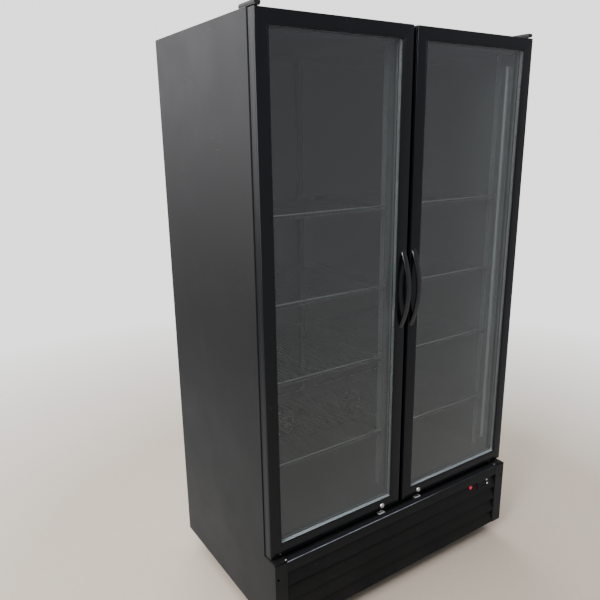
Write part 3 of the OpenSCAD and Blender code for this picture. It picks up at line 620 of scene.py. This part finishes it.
BAND_FOOT = LEDGE_Z - 40 * MM
BOARD_FOOT = CLEAR_Z + 2 * MM
BOARDS = 4
PITCH = (BAND_FOOT - BOARD_FOOT) / BOARDS
BOARD_IN = 15 * MM
TILT = atan2(BOARD_IN, PITCH)
BOARD_T = 1.2 * MM
SCREW_X = 347 * MM
CONTROL_BOX, SWITCH_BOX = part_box("controller_body"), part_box("switch_bezel")
BEZEL_HALF_W, BEZEL_HALF_H, BEZEL_T = 39 * MM, 17.5 * MM, 3 * MM
SWITCH_IN = 8 * MM  # from the board back to the middle of the switch
CONTROL_AT = (
    middle(*CONTROL_BOX).x,
    CONTROL_BOX[1].z - BEZEL_HALF_H * cos(TILT) - BEZEL_T * sin(TILT),
)
SWITCH_AT = (middle(*SWITCH_BOX).x, middle(*SWITCH_BOX).z + SWITCH_IN * sin(TILT))
# Each cut-out's x, z, half width and half height
CUTOUTS = ((*CONTROL_AT, 35.5 * MM, 14.5 * MM), (*SWITCH_AT, 9.2 * MM, 9.2 * MM))


def on_board(x, z):
    """Places something on the first sloping board, with -Y out of it and +Z up along it."""
    y = BASE_Y + BOARD_IN * (z - (BAND_FOOT - PITCH)) / PITCH
    return Matrix.Translation((x, y, z)) @ Matrix.Rotation(-TILT, 4, "X")


def front_grille():
    """Band under the ledge with its folded flange, over four sloping boards with hemmed feet."""
    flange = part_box("front_grille")[1].y
    x = GRILLE_X
    bend = arc((BASE_Y + 2.2 * MM, LEDGE_Z - 2.2 * MM), 2.2 * MM, 90, 180, 6)
    line = [(BASE_Y + 22 * MM, LEDGE_Z), *bend, (BASE_Y, BAND_FOOT + 1.5 * MM)]
    hem = arc((BASE_Y + 1.5 * MM, BAND_FOOT + 1.5 * MM), 1.5 * MM, 180, 270, 4)
    line += [*hem, (BASE_Y + 9 * MM, BAND_FOOT)]
    Shape().prism(thick_line(line, BOARD_T), "x", -x, x).piece(
        "grille_band", "front_grille", "grille_band_paint", bevel=0.35 * MM
    )
    length = (PITCH + 7 * MM) / cos(TILT)
    for i in range(BOARDS):
        foot = BAND_FOOT - (i + 1) * PITCH
        shape = Shape()
        first = len(shape.bm.verts)
        face = [(-x, 1.4 * MM), (x, 1.4 * MM), (x, length), (-x, length)]
        holes = []
        if i == 0:
            for bx, bz, w, h in CUTOUTS:
                up = (bz - foot) / cos(TILT)
                holes.append(rounded((bx - w, up - h), (bx + w, up + h), min(w, h) * 0.98))
        shape.plate(face, holes, "y", 0, BOARD_T)
        roll = arc((1.4 * MM, 1.4 * MM), 1.4 * MM, 180, 360, 8)
        hem = thick_line(roll + [(2.8 * MM, 6 * MM)], 0.9 * MM)
        shape.prism(hem, "x", -x, x)
        turn = Matrix.Translation((0, BASE_Y, foot)) @ Matrix.Rotation(-TILT, 4, "X")
        shape.move(turn, first)
        shape.piece(f"grille_board_{i + 1}", "front_grille", bevel=0.3 * MM)
    uprights = Shape()
    half_wide, front, top = 6 * MM, BASE_Y + 16.5 * MM, LEDGE_Z - 3 * MM
    for ux in (-x + 30 * MM, -SCREW_X, 0.0, SCREW_X, x - 12 * MM):
        uprights.box((ux - half_wide, front, BOARD_FOOT), (ux + half_wide, flange, top))
    uprights.piece("grille_uprights", "front_grille", bevel=0.5 * MM)


def screw_head(shape, centre, axis, radius, height):
    """A domed head with a cross recess, standing on centre along axis."""
    dome = arc((0, 0), 1.0, 8, 90, 7)
    profile = [(0, 0), (radius, 0), (radius, height * 0.3)]
    profile += [(radius * 0.97 * across, height * (0.3 + 0.7 * up)) for across, up in dome]
    shape.lathe(profile, centre, axis, turns=24)


def screws():
    """Pan heads: painted over on the grille, bright on the hinge plates, strikes and back, each with a
    black cross set into its top as painted shade for the cross recess.
    """
    heads = {"grille_screws": Shape(), "steel_screws": Shape()}
    recess_shade = Shape()
    for lo, hi in solids_of("screws"):
        size, centre = hi - lo, middle(lo, hi)
        group = "steel_screws"
        if size.z < 1.8 * MM:
            axis, foot = Z.copy(), Vector((centre.x, centre.y, lo.z))
        elif centre.y > 0:
            axis, foot = Y.copy(), Vector((centre.x, lo.y, centre.z))
        else:
            group = "grille_screws"
            tilt = TILT if centre.z < 0.1 else 0.0
            axis = Vector((0, -cos(tilt), sin(tilt)))
            foot = centre - axis * 0.8 * MM
        radius, height = size.x / 2, min(size.z, size.y, 1.6 * MM)
        screw_head(heads[group], foot, axis, radius, height)
        # Painted shade: a black cross set into the head stands in for the shade inside the cross recess.
        side = axis.orthogonal().normalized()
        top = foot + axis * height * 0.86
        for arm in (side, axis.cross(side)):
            along, across = arm * 0.58 * radius, axis.cross(arm) * 0.10 * radius
            ring = [along * a + across * b for a, b in ((-1, -1), (1, -1), (1, 1), (-1, 1))]
            recess_shade.solid([[top + p for p in ring], [top + axis * height * 0.16 + p for p in ring]])
    heads["grille_screws"].piece("grille_screws", "screws", slot="grille_paint")
    heads["steel_screws"].piece("steel_screws", "screws")
    recess_shade.piece("screw_recess_shade", "screws", slot="black_trim")


# ---- Hinges and locks on the cabinet ----

def hinge_hardware():
    """Narrow brackets with moulded caps over the top corners, and bosses under the bottom ones."""
    top = sorted(solids_of("top_hinge_brackets"), key=lambda box: (box[0].x, box[0].z))
    bottom = sorted(solids_of("bottom_hinge_brackets"), key=lambda box: box[0].x)
    pin = middle(*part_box("left_hinge_bushes"))
    pin.z = 0
    for side, flip in SIDES:
        lo, hi = top[0]
        shape = Shape().prism(rounded((lo.x, lo.y), (hi.x, hi.y), 5 * MM), "z", ROOF_Z, ROOF_Z + 3 * MM)
        shape.lathe([(0, lo.z), (4 * MM, lo.z), (4 * MM, ROOF_Z), (0, ROOF_Z)], pin, Z, turns=24)
        shape.piece(f"{side}_top_bracket", "top_hinge_brackets", mirror=flip, bevel=0.6 * MM)
        lo, hi = top[1]
        slope = [(lo.y, lo.z), (hi.y, lo.z), (hi.y, hi.z - 3 * MM), (hi.y - 7 * MM, hi.z)]
        slope += [(lo.y + 3 * MM, hi.z), (lo.y, hi.z - 3 * MM)]
        shape = Shape().prism(slope, "x", lo.x, hi.x)
        shape.piece(f"{side}_hinge_cap", "top_hinge_brackets", mirror=flip, bevel=1.6 * MM, steps=4)
        lo, hi = bottom[0]
        shape = Shape().prism(rounded((lo.x, lo.y), (hi.x, hi.y), 5 * MM), "z", lo.z, lo.z + 3 * MM)
        rest = DOOR_LO.z - 1.8 * MM
        boss = [(0, lo.z), (8 * MM, lo.z), (8 * MM, rest - 0.8 * MM), (7.2 * MM, rest)]
        boss += [(4 * MM, rest), (4 * MM, hi.z), (0, hi.z)]
        shape.lathe(boss, pin, Z, turns=32)
        shape.piece(f"{side}_bottom_bracket", "bottom_hinge_brackets", mirror=flip, bevel=0.5 * MM)


# ---- Doors ----

NO_WIDTH = (0, 0, 0, 0)


def frame_ring(shape, outer, widths, profile, y0, gap=0.05 * MM, bars=(0, 1, 2, 3)):
    """Mitred bars round a rectangle: bottom, right, top and left, or only those numbered in bars.

    A profile point is (from outer edge, share of width, depth).
    """
    x0, z0, x1, z1 = outer
    left, bottom, right, top = widths

    def corner(point, horizontal, vertical, sx, sz, px, pz):
        away, share, depth = point
        x = px + sx * (away + share * horizontal)
        z = pz + sz * (away + share * vertical)
        return Vector((x, y0 + depth, z))

    corners = [
        (left, bottom, 1, 1, x0, z0), (right, bottom, -1, 1, x1, z0),
        (right, top, -1, -1, x1, z1), (left, top, 1, -1, x0, z1),
    ]
    for i in bars:
        a, b = corners[i], corners[(i + 1) % 4]
        ring_a = [corner(p, *a) for p in profile]
        ring_b = [corner(p, *b) for p in profile]
        along = (ring_b[0] - ring_a[0]).normalized() * gap
        shape.solid([[p + along for p in ring_a], [p - along for p in ring_b]])
    return shape


DOOR_LO, DOOR_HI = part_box("left_door_frame")
GASKET_LO, GASKET_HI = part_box("left_door_gasket")
DOOR_RING = (DOOR_LO.x, DOOR_LO.z, DOOR_HI.x, DOOR_HI.z)
GLASS_RING = (GLASS_LO.x, GLASS_LO.z, GLASS_HI.x, GLASS_HI.z)
STILE, TOP_RAIL, BOTTOM_RAIL = 43 * MM, 41.5 * MM, 44.5 * MM
DOOR_WIDTHS = (STILE, BOTTOM_RAIL, STILE, TOP_RAIL)
DOOR_DEPTH = DOOR_HI.y - DOOR_LO.y
PANE = 4 * MM
CAVITY_Y = GLASS_LO.y + PANE
CAVITY = GLASS_HI.y - GLASS_LO.y - 2 * PANE


def bar_profile(points):
    """A profile written in millimetres, for frame_ring. The share of the width has no unit."""
    return [(away * MM, share, depth * MM) for away, share, depth in points]


def side_line(depth):
    """A fine line down the side of a door."""
    return [(0, 0, depth + 0.5), (0.5, 0, depth + 0.2), (0.5, 0, depth - 0.2), (0, 0, depth - 0.5)]


def frame_profile(front_part):
    """A line down the side, the front part, a rounded edge, a bead round the glass and its channel."""
    deep = DOOR_DEPTH / MM
    points = [(0, 0, deep - 1), *side_line(26.5), *front_part]
    points += [(x, 0, y) for x, y in arc((2.6, 2.6), 2.6, 180, 270, 6)]
    points += [(-7.4, 1, 0), (-7.1, 1, 0.5), (-6.6, 1, 0.5), (-6.3, 1, 0), (-2.4, 1, 0.1), (-0.7, 1, 0.9)]
    points += [(0, 1, 2.4), (0, 1, 3.95), (-11.5, 1, 3.95), (-11.5, 1, 24.05), (0, 1, 24.05)]
    points += [(0, 1, deep - 1.5), (-1.5, 1, deep), (1, 0, deep)]
    return bar_profile(points)


def door_frame(side, flip):
    """Four mitred bars. The bottom one has a pocket, open below, that the lock's cam turns in."""
    shape = Shape()
    gap = 0.1 * MM
    plain = frame_profile(side_line(7))
    frame_ring(shape, DOOR_RING, DOOR_WIDTHS, plain, DOOR_LO.y, gap, bars=(1, 2, 3))
    near, far, high, half_wide = 4, 11, 29, 31 * MM
    share = high * MM / BOTTOM_RAIL
    grooved = frame_profile([(0, 0, far), (0, share, far), (0, share, near), (0, 0, near)])
    frame_ring(shape, DOOR_RING, DOOR_WIDTHS, grooved, DOOR_LO.y, gap, bars=(0,))
    # The groove is filled up again on each side of the pocket
    near, far, high = near + 0.05, far - 0.05, high - 0.05
    section = in_mm([(near, 0), (far, 0), (far, high), (near, high)])
    lock_x = middle(*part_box("left_lock_housing")).x
    for end, inward in ((DOOR_LO.x, 1), (DOOR_HI.x, -1)):
        mitre = [
            Vector((end + inward * (h * STILE / BOTTOM_RAIL + 2 * gap), DOOR_LO.y + y, DOOR_LO.z + h))
            for y, h in section
        ]
        square = [Vector((lock_x - inward * half_wide, p.y, p.z)) for p in mitre]
        shape.solid([mitre, square])
    shape.piece(f"{side}_door_profile", f"{side}_door_frame", mirror=flip, bevel=0.25 * MM)


def door_panes(side, flip):
    """Two panes with ground edges."""
    shape = Shape()
    outline = rounded((GLASS_LO.x, GLASS_LO.z), (GLASS_HI.x, GLASS_HI.z), 1.5 * MM, 3)
    for y in (GLASS_LO.y, GLASS_HI.y - PANE):
        shape.prism(outline, "y", y + 0.01 * MM, y + PANE - 0.01 * MM)
    shape.piece(f"{side}_panes", f"{side}_door_glass", mirror=flip, bevel=0.4 * MM, steps=1)


def spacer(side, flip):
    """The perforated bar between the panes, rounded on the side that shows."""
    inner, deep = 9.6, CAVITY / MM
    bar = [(4, 0, 0.3), (inner, 0, 0.3)]
    for depth, start in ((1.7, -90), (deep - 1.7, 0)):
        bar += [(inner + x, 0, y) for x, y in arc((0, depth), 1.4, start, start + 90, 4)]
    bar += [(4, 0, deep - 0.3)]
    shape = frame_ring(Shape(), GLASS_RING, NO_WIDTH, bar_profile(bar), CAVITY_Y)
    shape.piece(f"{side}_spacer_bar", f"{side}_door_spacer", mirror=flip, bevel=0.1 * MM, steps=1)


def bead(side, flip):
    """The strip that holds the glass from behind."""
    strip = bar_profile([(0.5, 1, 0), (1.6, 1, 0.8), (1.6, 1, 6.8), (0.1, 1, 7.6), (0.1, 1, 0.2)])
    shape = frame_ring(Shape(), DOOR_RING, DOOR_WIDTHS, strip, GLASS_HI.y + 0.1 * MM)
    name, node = f"{side}_glazing_bead", f"{side}_door_frame"
    shape.piece(name, node, "glazing_bead", "gasket", mirror=flip, bevel=0.1 * MM)


def sealant(side, flip):
    """Black sealant behind the spacer bar."""
    deep = CAVITY / MM
    seal = bar_profile([(0.3, 0, 0.1), (3.9, 0, 0.1), (3.9, 0, deep - 0.1), (0.3, 0, deep - 0.1)])
    shape = frame_ring(Shape(), GLASS_RING, NO_WIDTH, seal, CAVITY_Y)
    name, node = f"{side}_edge_sealant", f"{side}_door_spacer"
    shape.piece(name, node, slot="gasket", mirror=flip, bevel=0.2 * MM)


def door_gasket(side, flip):
    """Magnetic gasket: a flat foot, a folded bellows and the magnet pocket that meets the cabinet."""
    wide = 18
    deep = (GASKET_HI.y - GASKET_LO.y) / MM
    left = [(0, 0), (0, 1.2), (3.2, 1.4), (3.0, 2.4), (0.8, 3.6), (0.8, 4.4), (3.4, 5.4), (2.4, 5.8)]
    left += [(2.4, 7.7), (3.0, 8.5)]
    points = [(u, 0, d) for u, d in left]
    points += [(wide - u, 0, min(d, deep)) for u, d in reversed(left)]
    outer = (GASKET_LO.x, GASKET_LO.z, GASKET_HI.x, GASKET_HI.z)
    shape = frame_ring(Shape(), outer, NO_WIDTH, bar_profile(points), GASKET_LO.y)
    shape.piece(f"{side}_gasket_bellows", f"{side}_door_gasket", mirror=flip, bevel=0.25 * MM)


def squarer(value, power=0.72):
    """Pushes one coordinate of a circle outwards, which makes the circle a soft square."""
    return copysign(abs(value) ** power, value)


def handle(side, flip):
    """Bow handle: a softly rounded bar bent to one arc, with flat feet against the door."""
    lo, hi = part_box("left_handle")
    centre = middle(lo, hi)
    half, rise, wide = (hi.z - lo.z) / 2, DOOR_LO.y - lo.y, hi.x - lo.x
    radius = (half * half + rise * rise) / (2 * rise)
    arc_y = lo.y + radius
    thick = 11 * MM
    end = acos((arc_y - DOOR_LO.y) / radius)
    corners, steps = 36, 64
    section = []
    for k in range(corners):
        a = 2 * pi * k / corners
        section.append((squarer(cos(a)) * wide / 2, (squarer(sin(a)) + 1) * thick / 2))
    rings = []
    for i in range(steps + 1):
        a = end * sin(pi / 2 * (2 * i / steps - 1))
        ring = []
        for u, v in section:
            y = arc_y - (radius - v) * cos(a)
            z = centre.z + (radius - v) * sin(a)
            ring.append(Vector((centre.x + u, min(y, DOOR_LO.y), z)))
        rings.append(ring)
    shape = Shape().solid(rings)
    shape.piece(f"{side}_bow_handle", f"{side}_handle", mirror=flip, smooth=50)


def lock(side, flip):
    """Chromed cam lock: dished ring, turning plug with a key slot, and its flat cam."""
    face = DOOR_LO.y
    centre = middle(*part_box("left_lock_housing"))
    centre.y = face
    x, z = centre.x, centre.z
    rim = [(5.56, 0.2), (5.56, 3.4), (6.3, 4.0), (7.2, 3.9), (8.6, 3.0), (9.4, 1.4), (9.5, 0.0), (7.8, 0.0)]
    rim += [(7.8, -4.4), (5.56, -4.4)]
    shape = Shape().lathe(in_mm(rim), centre, -Y, turns=48)
    shape.piece(f"{side}_lock_ring", f"{side}_lock_housing", mirror=flip, smooth=40)
    shape = Shape()
    disc = [(x + px, z + pz) for px, pz in arc((0, 0), 5.45 * MM, 0, 352.5, 47)]
    turned = side == "right"
    slot = in_mm(rounded((-0.7, -3.5), (0.7, 3.5), 0.3, 2))
    key = [(x - b, z + a) if turned else (x + a, z + b) for a, b in slot]
    shape.plate(disc, [key], "y", face - 4.6 * MM, face - 1.6 * MM)
    shape.prism(disc, "y", face - 1.59 * MM, face + 8 * MM)
    reach, r = 28.7 * MM, 7 * MM
    blade = arc((0, 0), r, 0, 180, 12) + arc((0, -reach + r), r, 180, 360, 12)
    if turned:
        blade = [(-b, a) for a, b in blade]
    blade = [(x + px, z + pz) for px, pz in blade]
    shape.prism(blade, "y", face + 5 * MM, face + 8 * MM)
    shape.lathe(in_mm([(0, 8), (3.4, 8), (3.4, 9.6), (0, 10)]), centre, Y, turns=6)
    shape.piece(f"{side}_lock_cam", f"{side}_lock_plug", mirror=flip, bevel=0.3 * MM)


def bushes(side, flip):
    """Flanged nylon bushes that the door turns on."""
    centre = middle(*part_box("left_hinge_bushes"))
    centre.z = 0
    shape = Shape()
    for z, s in ((DOOR_LO.z, 1), (DOOR_HI.z, -1)):
        section = [(4.06, -1.2), (4.5, -1.5), (8.6, -1.5), (9.0, -1.1), (9.0, 0), (7.0, 0), (7.0, 21.6)]
        section += [(6.6, 22), (4.06, 22)]
        shape.lathe([(r * MM, z + s * h * MM) for r, h in section], centre, Z, turns=36)
    shape.piece(f"{side}_flanged_bushes", f"{side}_hinge_bushes", mirror=flip)


# ---- Shelves and lighting ----

def shelves(side, flip):
    """Wire shelves: close-set wires bent up along the front, on round cross bars and two rails."""
    decks = [box for box in solids_of("shelves_left") if box[1].z - box[0].z < 5 * MM]
    for level, (lo, hi) in enumerate(sorted(decks, key=lambda box: box[0].z), 1):
        shape = Shape()
        r, rail = 1.6 * MM, 2.0 * MM
        top = hi.z
        rise = top + 15 * MM
        x0, x1 = lo.x + rail, hi.x - rail
        count = round((x1 - x0) / (15 * MM))
        for i in range(count + 1):
            x = x0 + (x1 - x0) * i / count
            front = lo.y + 3.4 * MM
            bend = arc((front + 3 * MM, top + 1.4 * MM), 3 * MM, 270, 180, 5)
            path = [(x, hi.y - r, top - r), (x, middle(lo, hi).y, top - r)]
            path += [(x, y, z) for y, z in bend]
            path += [(x, front, rise - 2 * rail)]
            shape.tube(path, r, 8)
        bar, bar_z = 1.9 * MM, lo.z + 1.8 * MM
        for y in (middle(lo, hi).y - 31 * MM, hi.y - rail, lo.y + 35 * MM):
            shape.tube([(lo.x, y, bar_z), (hi.x, y, bar_z)], bar, 10)
        rails = Shape()
        rails.tube([(lo.x, lo.y + rail, rise - rail), (hi.x, lo.y + rail, rise - rail)], rail, 12)
        rails.piece(f"{side}_shelf_{level}_rail", f"shelves_{side}", "shelf_rail", mirror=flip, smooth=60)
        shape.tube([(lo.x, lo.y + rail, top + 0.6 * MM), (hi.x, lo.y + rail, top + 0.6 * MM)], rail, 12)
        for x in (x0, x1):
            shape.tube([(x, lo.y + 3 * MM, lo.z + rail), (x, hi.y - rail, lo.z + rail)], bar, 8)
        shape.piece(f"{side}_shelf_{level}", f"shelves_{side}", mirror=flip, smooth=60)


# ---- Controls ----

# The buttons' height above the middle of the bezel, in millimetres
BUTTONS = (("button_up", 11), ("button_down", -4))


def controller():
    """Bezel with a dished display window and two buttons, on a box behind the board."""
    place = on_board(*CONTROL_AT)
    shape = Shape()
    outline = rounded((-BEZEL_HALF_W, -BEZEL_HALF_H), (BEZEL_HALF_W, BEZEL_HALF_H), 3 * MM)
    display = in_mm(rounded((-32, -9), (10, 11), 1.5, 3))
    wells = [in_mm(rounded((13.7, up - 2.9), (22.3, up + 2.9), 1, 3)) for _, up in BUTTONS]
    shape.plate(outline, [display, *wells], "y", -BEZEL_T, -0.9 * MM)
    shape.prism(outline, "y", -0.89 * MM, 0)
    shape.prism(in_mm(rounded((-35.2, -14.2), (35.2, 14.2), 2)), "y", 0, 45 * MM)
    shape.move(place)
    shape.piece("controller_bezel", "controller_body", bevel=0.5 * MM, steps=3)
    pane = in_mm(rounded((-31.8, -8.8), (9.8, 10.8), 1.4, 3))
    shape = Shape().prism(pane, "y", -1.7 * MM, -0.95 * MM).move(place)
    shape.piece("controller_display", "controller_body", "display_window", bevel=0.15 * MM)
    for name, up in BUTTONS:
        face = in_mm(rounded((14, up - 2.6), (22, up + 2.6), 1.1, 4))
        shape = Shape().prism(face, "y", -3.6 * MM, 0.6 * MM).move(place)
        shape.piece(f"{name}_cap", name, bevel=0.7 * MM, steps=3)


def power_switch():
    """Round rocker switch with a domed red cap in a black ring."""
    place = on_board(*SWITCH_AT)
    ring = [(8.3, 1.0), (8.3, -1.2), (8.9, -2.0), (10.3, -2.0), (11.2, -1.2), (11.5, 0), (9.1, 0)]
    ring += [(9.1, 18), (8.3, 18)]
    shape = Shape().lathe(in_mm(ring), (0, 0, 0), Y, turns=48).move(place)
    shape.piece("switch_ring", "switch_bezel", smooth=40)
    cap = [(0, 4.0), (7.5, 4.0), (7.6, 3.6), (7.6, -3.2), (7.2, -3.8), (5.0, -3.3), (0, -2.9)]
    shape = Shape().lathe(in_mm(cap), (0, 0, 0), Y, turns=48)
    shape.move(place @ Matrix.Translation((0, 0.5 * MM, 0)) @ Matrix.Rotation(radians(8), 4, "X"))
    shape.piece("switch_cap", "switch_rocker", smooth=40)


# ---- Castors ----

def wheel(node):
    """Rubber tread with a groove round it, on a moulded hub."""
    lo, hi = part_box(node)
    centre = middle(lo, hi)
    w, r = (hi.x - lo.x) / 2 / MM, (hi.z - lo.z) / 2 / MM
    bore = 3.06
    tread = [(r - 8, -w + 1.2), (r - 2.5, -w), (r - 0.8, -w + 0.9), (r, -w + 3), (r, -1.2), (r - 0.9, -0.8)]
    tread += [(r - 0.9, 0.8), (r, 1.2), (r, w - 3), (r - 0.8, w - 0.9), (r - 2.5, w), (r - 8, w - 1.2)]
    Shape().lathe(in_mm(tread), centre, X, turns=56).piece(f"{node}_tread", node, smooth=40)
    hub = [(bore, -w + 0.3), (bore + 3, -w + 0.3), (bore + 4, -w + 3), (r - 10, -w + 3)]
    hub += [(r - 8.05, -w + 1.4), (r - 8.05, w - 1.4), (r - 10, w - 3), (bore + 4, w - 3)]
    hub += [(bore + 3, w - 0.3), (bore, w - 0.3)]
    shape = Shape().lathe(in_mm(hub), centre, X, turns=56)
    shape.piece(f"{node}_hub", node, slot="fan_plastic", smooth=40)


# ---- Machinery ----

def compressor():
    """Welded shell with its seam, on a plate with rubber feet."""
    lo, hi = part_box("compressor")
    x, y, _ = middle(lo, hi)
    r = 76 * MM
    base, top = lo.z + 17 * MM, hi.z
    seam = base + (top - base) * 0.55
    side = [(0, base), (r - 14 * MM, base), (r - 4 * MM, base + 6 * MM), (r, base + 18 * MM), (r, seam)]
    side += [(r + 3 * MM, seam + 1 * MM), (r + 3 * MM, seam + 5 * MM), (r, seam + 6 * MM)]
    shoulder = seam + 30 * MM
    side += [(r * px, shoulder + (top - shoulder) * pz) for px, pz in arc((0, 0), 1.0, 0, 90, 10)]
    shape = Shape().lathe(side, (x, y, 0), Z, turns=64)
    plate_x, plate_y = 110 * MM, 78 * MM
    plate = rounded((x - plate_x, y - plate_y), (x + plate_x, y + plate_y), 12 * MM)
    shape.prism(plate, "z", lo.z + 14 * MM, base)
    shape.piece("compressor_shell", "compressor", bevel=0.8 * MM)
    feet = Shape()
    foot = in_mm([(0, 0), (12, 0), (12, 3), (9.5, 5), (9.5, 8), (12, 10), (12, 13.9), (0, 13.9)])
    for foot_x in (x - 90 * MM, x + 90 * MM):
        for foot_y in (y - 60 * MM, y + 60 * MM):
            feet.lathe(foot, (foot_x, foot_y, lo.z), Z, turns=28)
    feet.piece("compressor_feet", "compressor", slot="wheel_rubber")


# ---- Put it together ----

for side, flip in SIDES:
    side_panel(side, flip)
    door_frame(side, flip)
    door_panes(side, flip)
    spacer(side, flip)
    bead(side, flip)
    sealant(side, flip)
    door_gasket(side, flip)
    handle(side, flip)
    lock(side, flip)
    bushes(side, flip)
    shelves(side, flip)
top_panel()
rear_panel()
base()
front_grille()
screws()
hinge_hardware()
controller()
power_switch()
for side in ("left", "right"):
    for end in ("front", "rear"):
        wheel(f"{end}_{side}_wheel")
compressor()
for node in (
    "front_frame", "center_posts", "rear_grille", "condenser_fan_shroud", "evaporator_cover",
    "castor_mounts", "front_left_castor_fork", "front_right_castor_fork", "cable_gland",
):
    softened(node)
# The LED channels and shelf clips take the darker zinc, painted shade for the inside of the cabinet.
softened("led_channels", "shade_darkened_zinc")
softened("shelf_clips", "shade_darkened_zinc")
softened("lock_strikes", "strike_zinc")

# CAD nodes that stay in view
for node, obj in frame["nodes"].items():
    if not obj.hide_render:
        # The shelf tracks take the darker zinc, painted shade for the inside of the cabinet.
        finish = "shade_darkened_zinc" if node == "shelf_tracks" else NODE_SLOT[node]
        obj.data.materials.clear()
        obj.data.materials.append(FINISHES[finish])


# ---- Floor, light and camera ----

def floor_finish():
    """Pale concrete that fades out a few metres from the object, painted darker where glossy rays see it, a
    painted dimming of its reflections.
    """
    f = Finish("studio_floor", (0.49, 0.42, 0.34), 0.6, Specular_IOR_Level=0.3)
    f.clouds((0.53, 0.46, 0.38), 1.5, 4.0, 0.35, 0.7, 0.4)
    f.clouds((0.44, 0.37, 0.30), 35.0, 5.0, 0.45, 0.75, 0.3)
    f.bump(f.noise(90.0, 2.0), 0.1, 0.0003)
    away = f.add("VectorMath", Vector=f.place)
    away.operation = "LENGTH"
    # Painted reflection: glossy rays see the floor darker grey, so it shows dimmer in the cabinet's
    # reflections.
    f.tint(f.add("LightPath").outputs["Is Glossy Ray"], (0.25, 0.243, 0.232))
    clear = f.add("BsdfTransparent")
    fade = f.add("MixShader", Fac=f.band(away.outputs["Value"], 1.3, 3.6))
    f.tree.links.new(f.shader.outputs[0], fade.inputs[1])
    f.tree.links.new(clear.outputs[0], fade.inputs[2])
    f.tree.links.new(fade.outputs[0], f.tree.nodes["Material Output"].inputs["Surface"])


def studio_floor():
    floor_finish()
    mesh = bpy.data.meshes.new("floor")
    half = 40.0
    corners = [(-half, -half, 0), (half, -half, 0), (half, half, 0), (-half, half, 0)]
    mesh.from_pydata(corners, [], [(0, 1, 2, 3)])
    mesh.materials.append(FINISHES["studio_floor"])
    floor = bpy.data.objects.new("floor", mesh)
    bpy.context.collection.objects.link(floor)


def studio_world():
    """A pale wall for the camera. All else sees a room lit from above and from the left and back."""
    world = bpy.data.worlds.new("studio")
    bpy.context.scene.world = world
    world.use_nodes = True
    tree = world.node_tree
    back = tree.nodes["Background"]
    way = tree.nodes.new("ShaderNodeTexCoord").outputs["Generated"]
    bright = tree.nodes.new("ShaderNodeVectorMath")
    bright.operation = "DOT_PRODUCT"
    bright.inputs[1].default_value = (-0.55, 0.35, 0.75)
    spread = tree.nodes.new("ShaderNodeMapRange")
    spread.inputs[1].default_value = -1.0
    ramp = tree.nodes.new("ShaderNodeValToRGB")
    tones = (
        (0.0, (0.44, 0.44, 0.44)), (0.25, (0.40, 0.41, 0.44)), (0.55, (0.24, 0.24, 0.25)),
        (0.72, (0.45, 0.45, 0.465)), (0.86, (2.50, 2.50, 2.58)), (1.0, (2.30, 2.30, 2.35)),
    )
    for at, _ in tones[1:-1]:
        ramp.color_ramp.elements.new(at)
    for stop, (at, tone) in zip(ramp.color_ramp.elements, tones):
        stop.position = at
        stop.color = (*tone, 1)
    tree.links.new(way, bright.inputs[0])
    tree.links.new(bright.outputs["Value"], spread.inputs[0])
    tree.links.new(spread.outputs[0], ramp.inputs[0])
    camera_ray = tree.nodes.new("ShaderNodeLightPath").outputs["Is Camera Ray"]
    wall = tree.nodes.new("ShaderNodeMix")
    wall.data_type = "RGBA"
    wall.inputs[7].default_value = (1.98, 1.97, 1.96, 1)
    tree.links.new(camera_ray, wall.inputs["Factor"])
    tree.links.new(ramp.outputs[0], wall.inputs[6])
    tree.links.new(wall.outputs[2], back.inputs[0])


def soft_light(name, place, aim, size, power):
    light = bpy.data.lights.new(name, "AREA")
    light.shape = "RECTANGLE"
    light.size, light.size_y = size
    light.energy = power
    obj = bpy.data.objects.new(name, light)
    bpy.context.collection.objects.link(obj)
    obj.location = place
    obj.rotation_euler = (Vector(aim) - Vector(place)).to_track_quat("-Z", "Y").to_euler()


def camera():
    """The photograph's viewing angle: from the left and above, looking down at the doors."""
    eye = Vector((-1.3806, -1.7507, 1.6627))
    turn, down, roll = radians(-33.55), radians(15.217), radians(-0.82)
    ahead = Vector((-sin(turn) * cos(down), cos(turn) * cos(down), -sin(down)))
    right = Vector((cos(turn), sin(turn), 0))
    up = right.cross(ahead)
    right, up = right * cos(roll) + up * sin(roll), up * cos(roll) - right * sin(roll)
    data = bpy.data.cameras.new("camera")
    data.lens = 36.04
    data.sensor_width = 36.0
    obj = bpy.data.objects.new("camera", data)
    bpy.context.collection.objects.link(obj)
    turned = Matrix((right, up, -ahead)).transposed().to_4x4()
    obj.matrix_world = Matrix.Translation(eye) @ turned
    bpy.context.scene.camera = obj


studio_floor()
studio_world()
soft_light("key", (-1.6, -1.8, 3.6), (0, 0, 0.8), (2.4, 1.6), 60)
soft_light("wall_bounce", (-3.0, 1.2, 1.8), (0, 0, 1.0), (2.6, 2.6), 28)
soft_light("back", (0.8, 3.2, 3.2), (0, 0, 1.2), (3.0, 2.0), 70)
soft_light("glint", (-3.6, -1.9, 3.0), (0, -0.3, 1.2), (0.8, 0.8), 110)
camera()
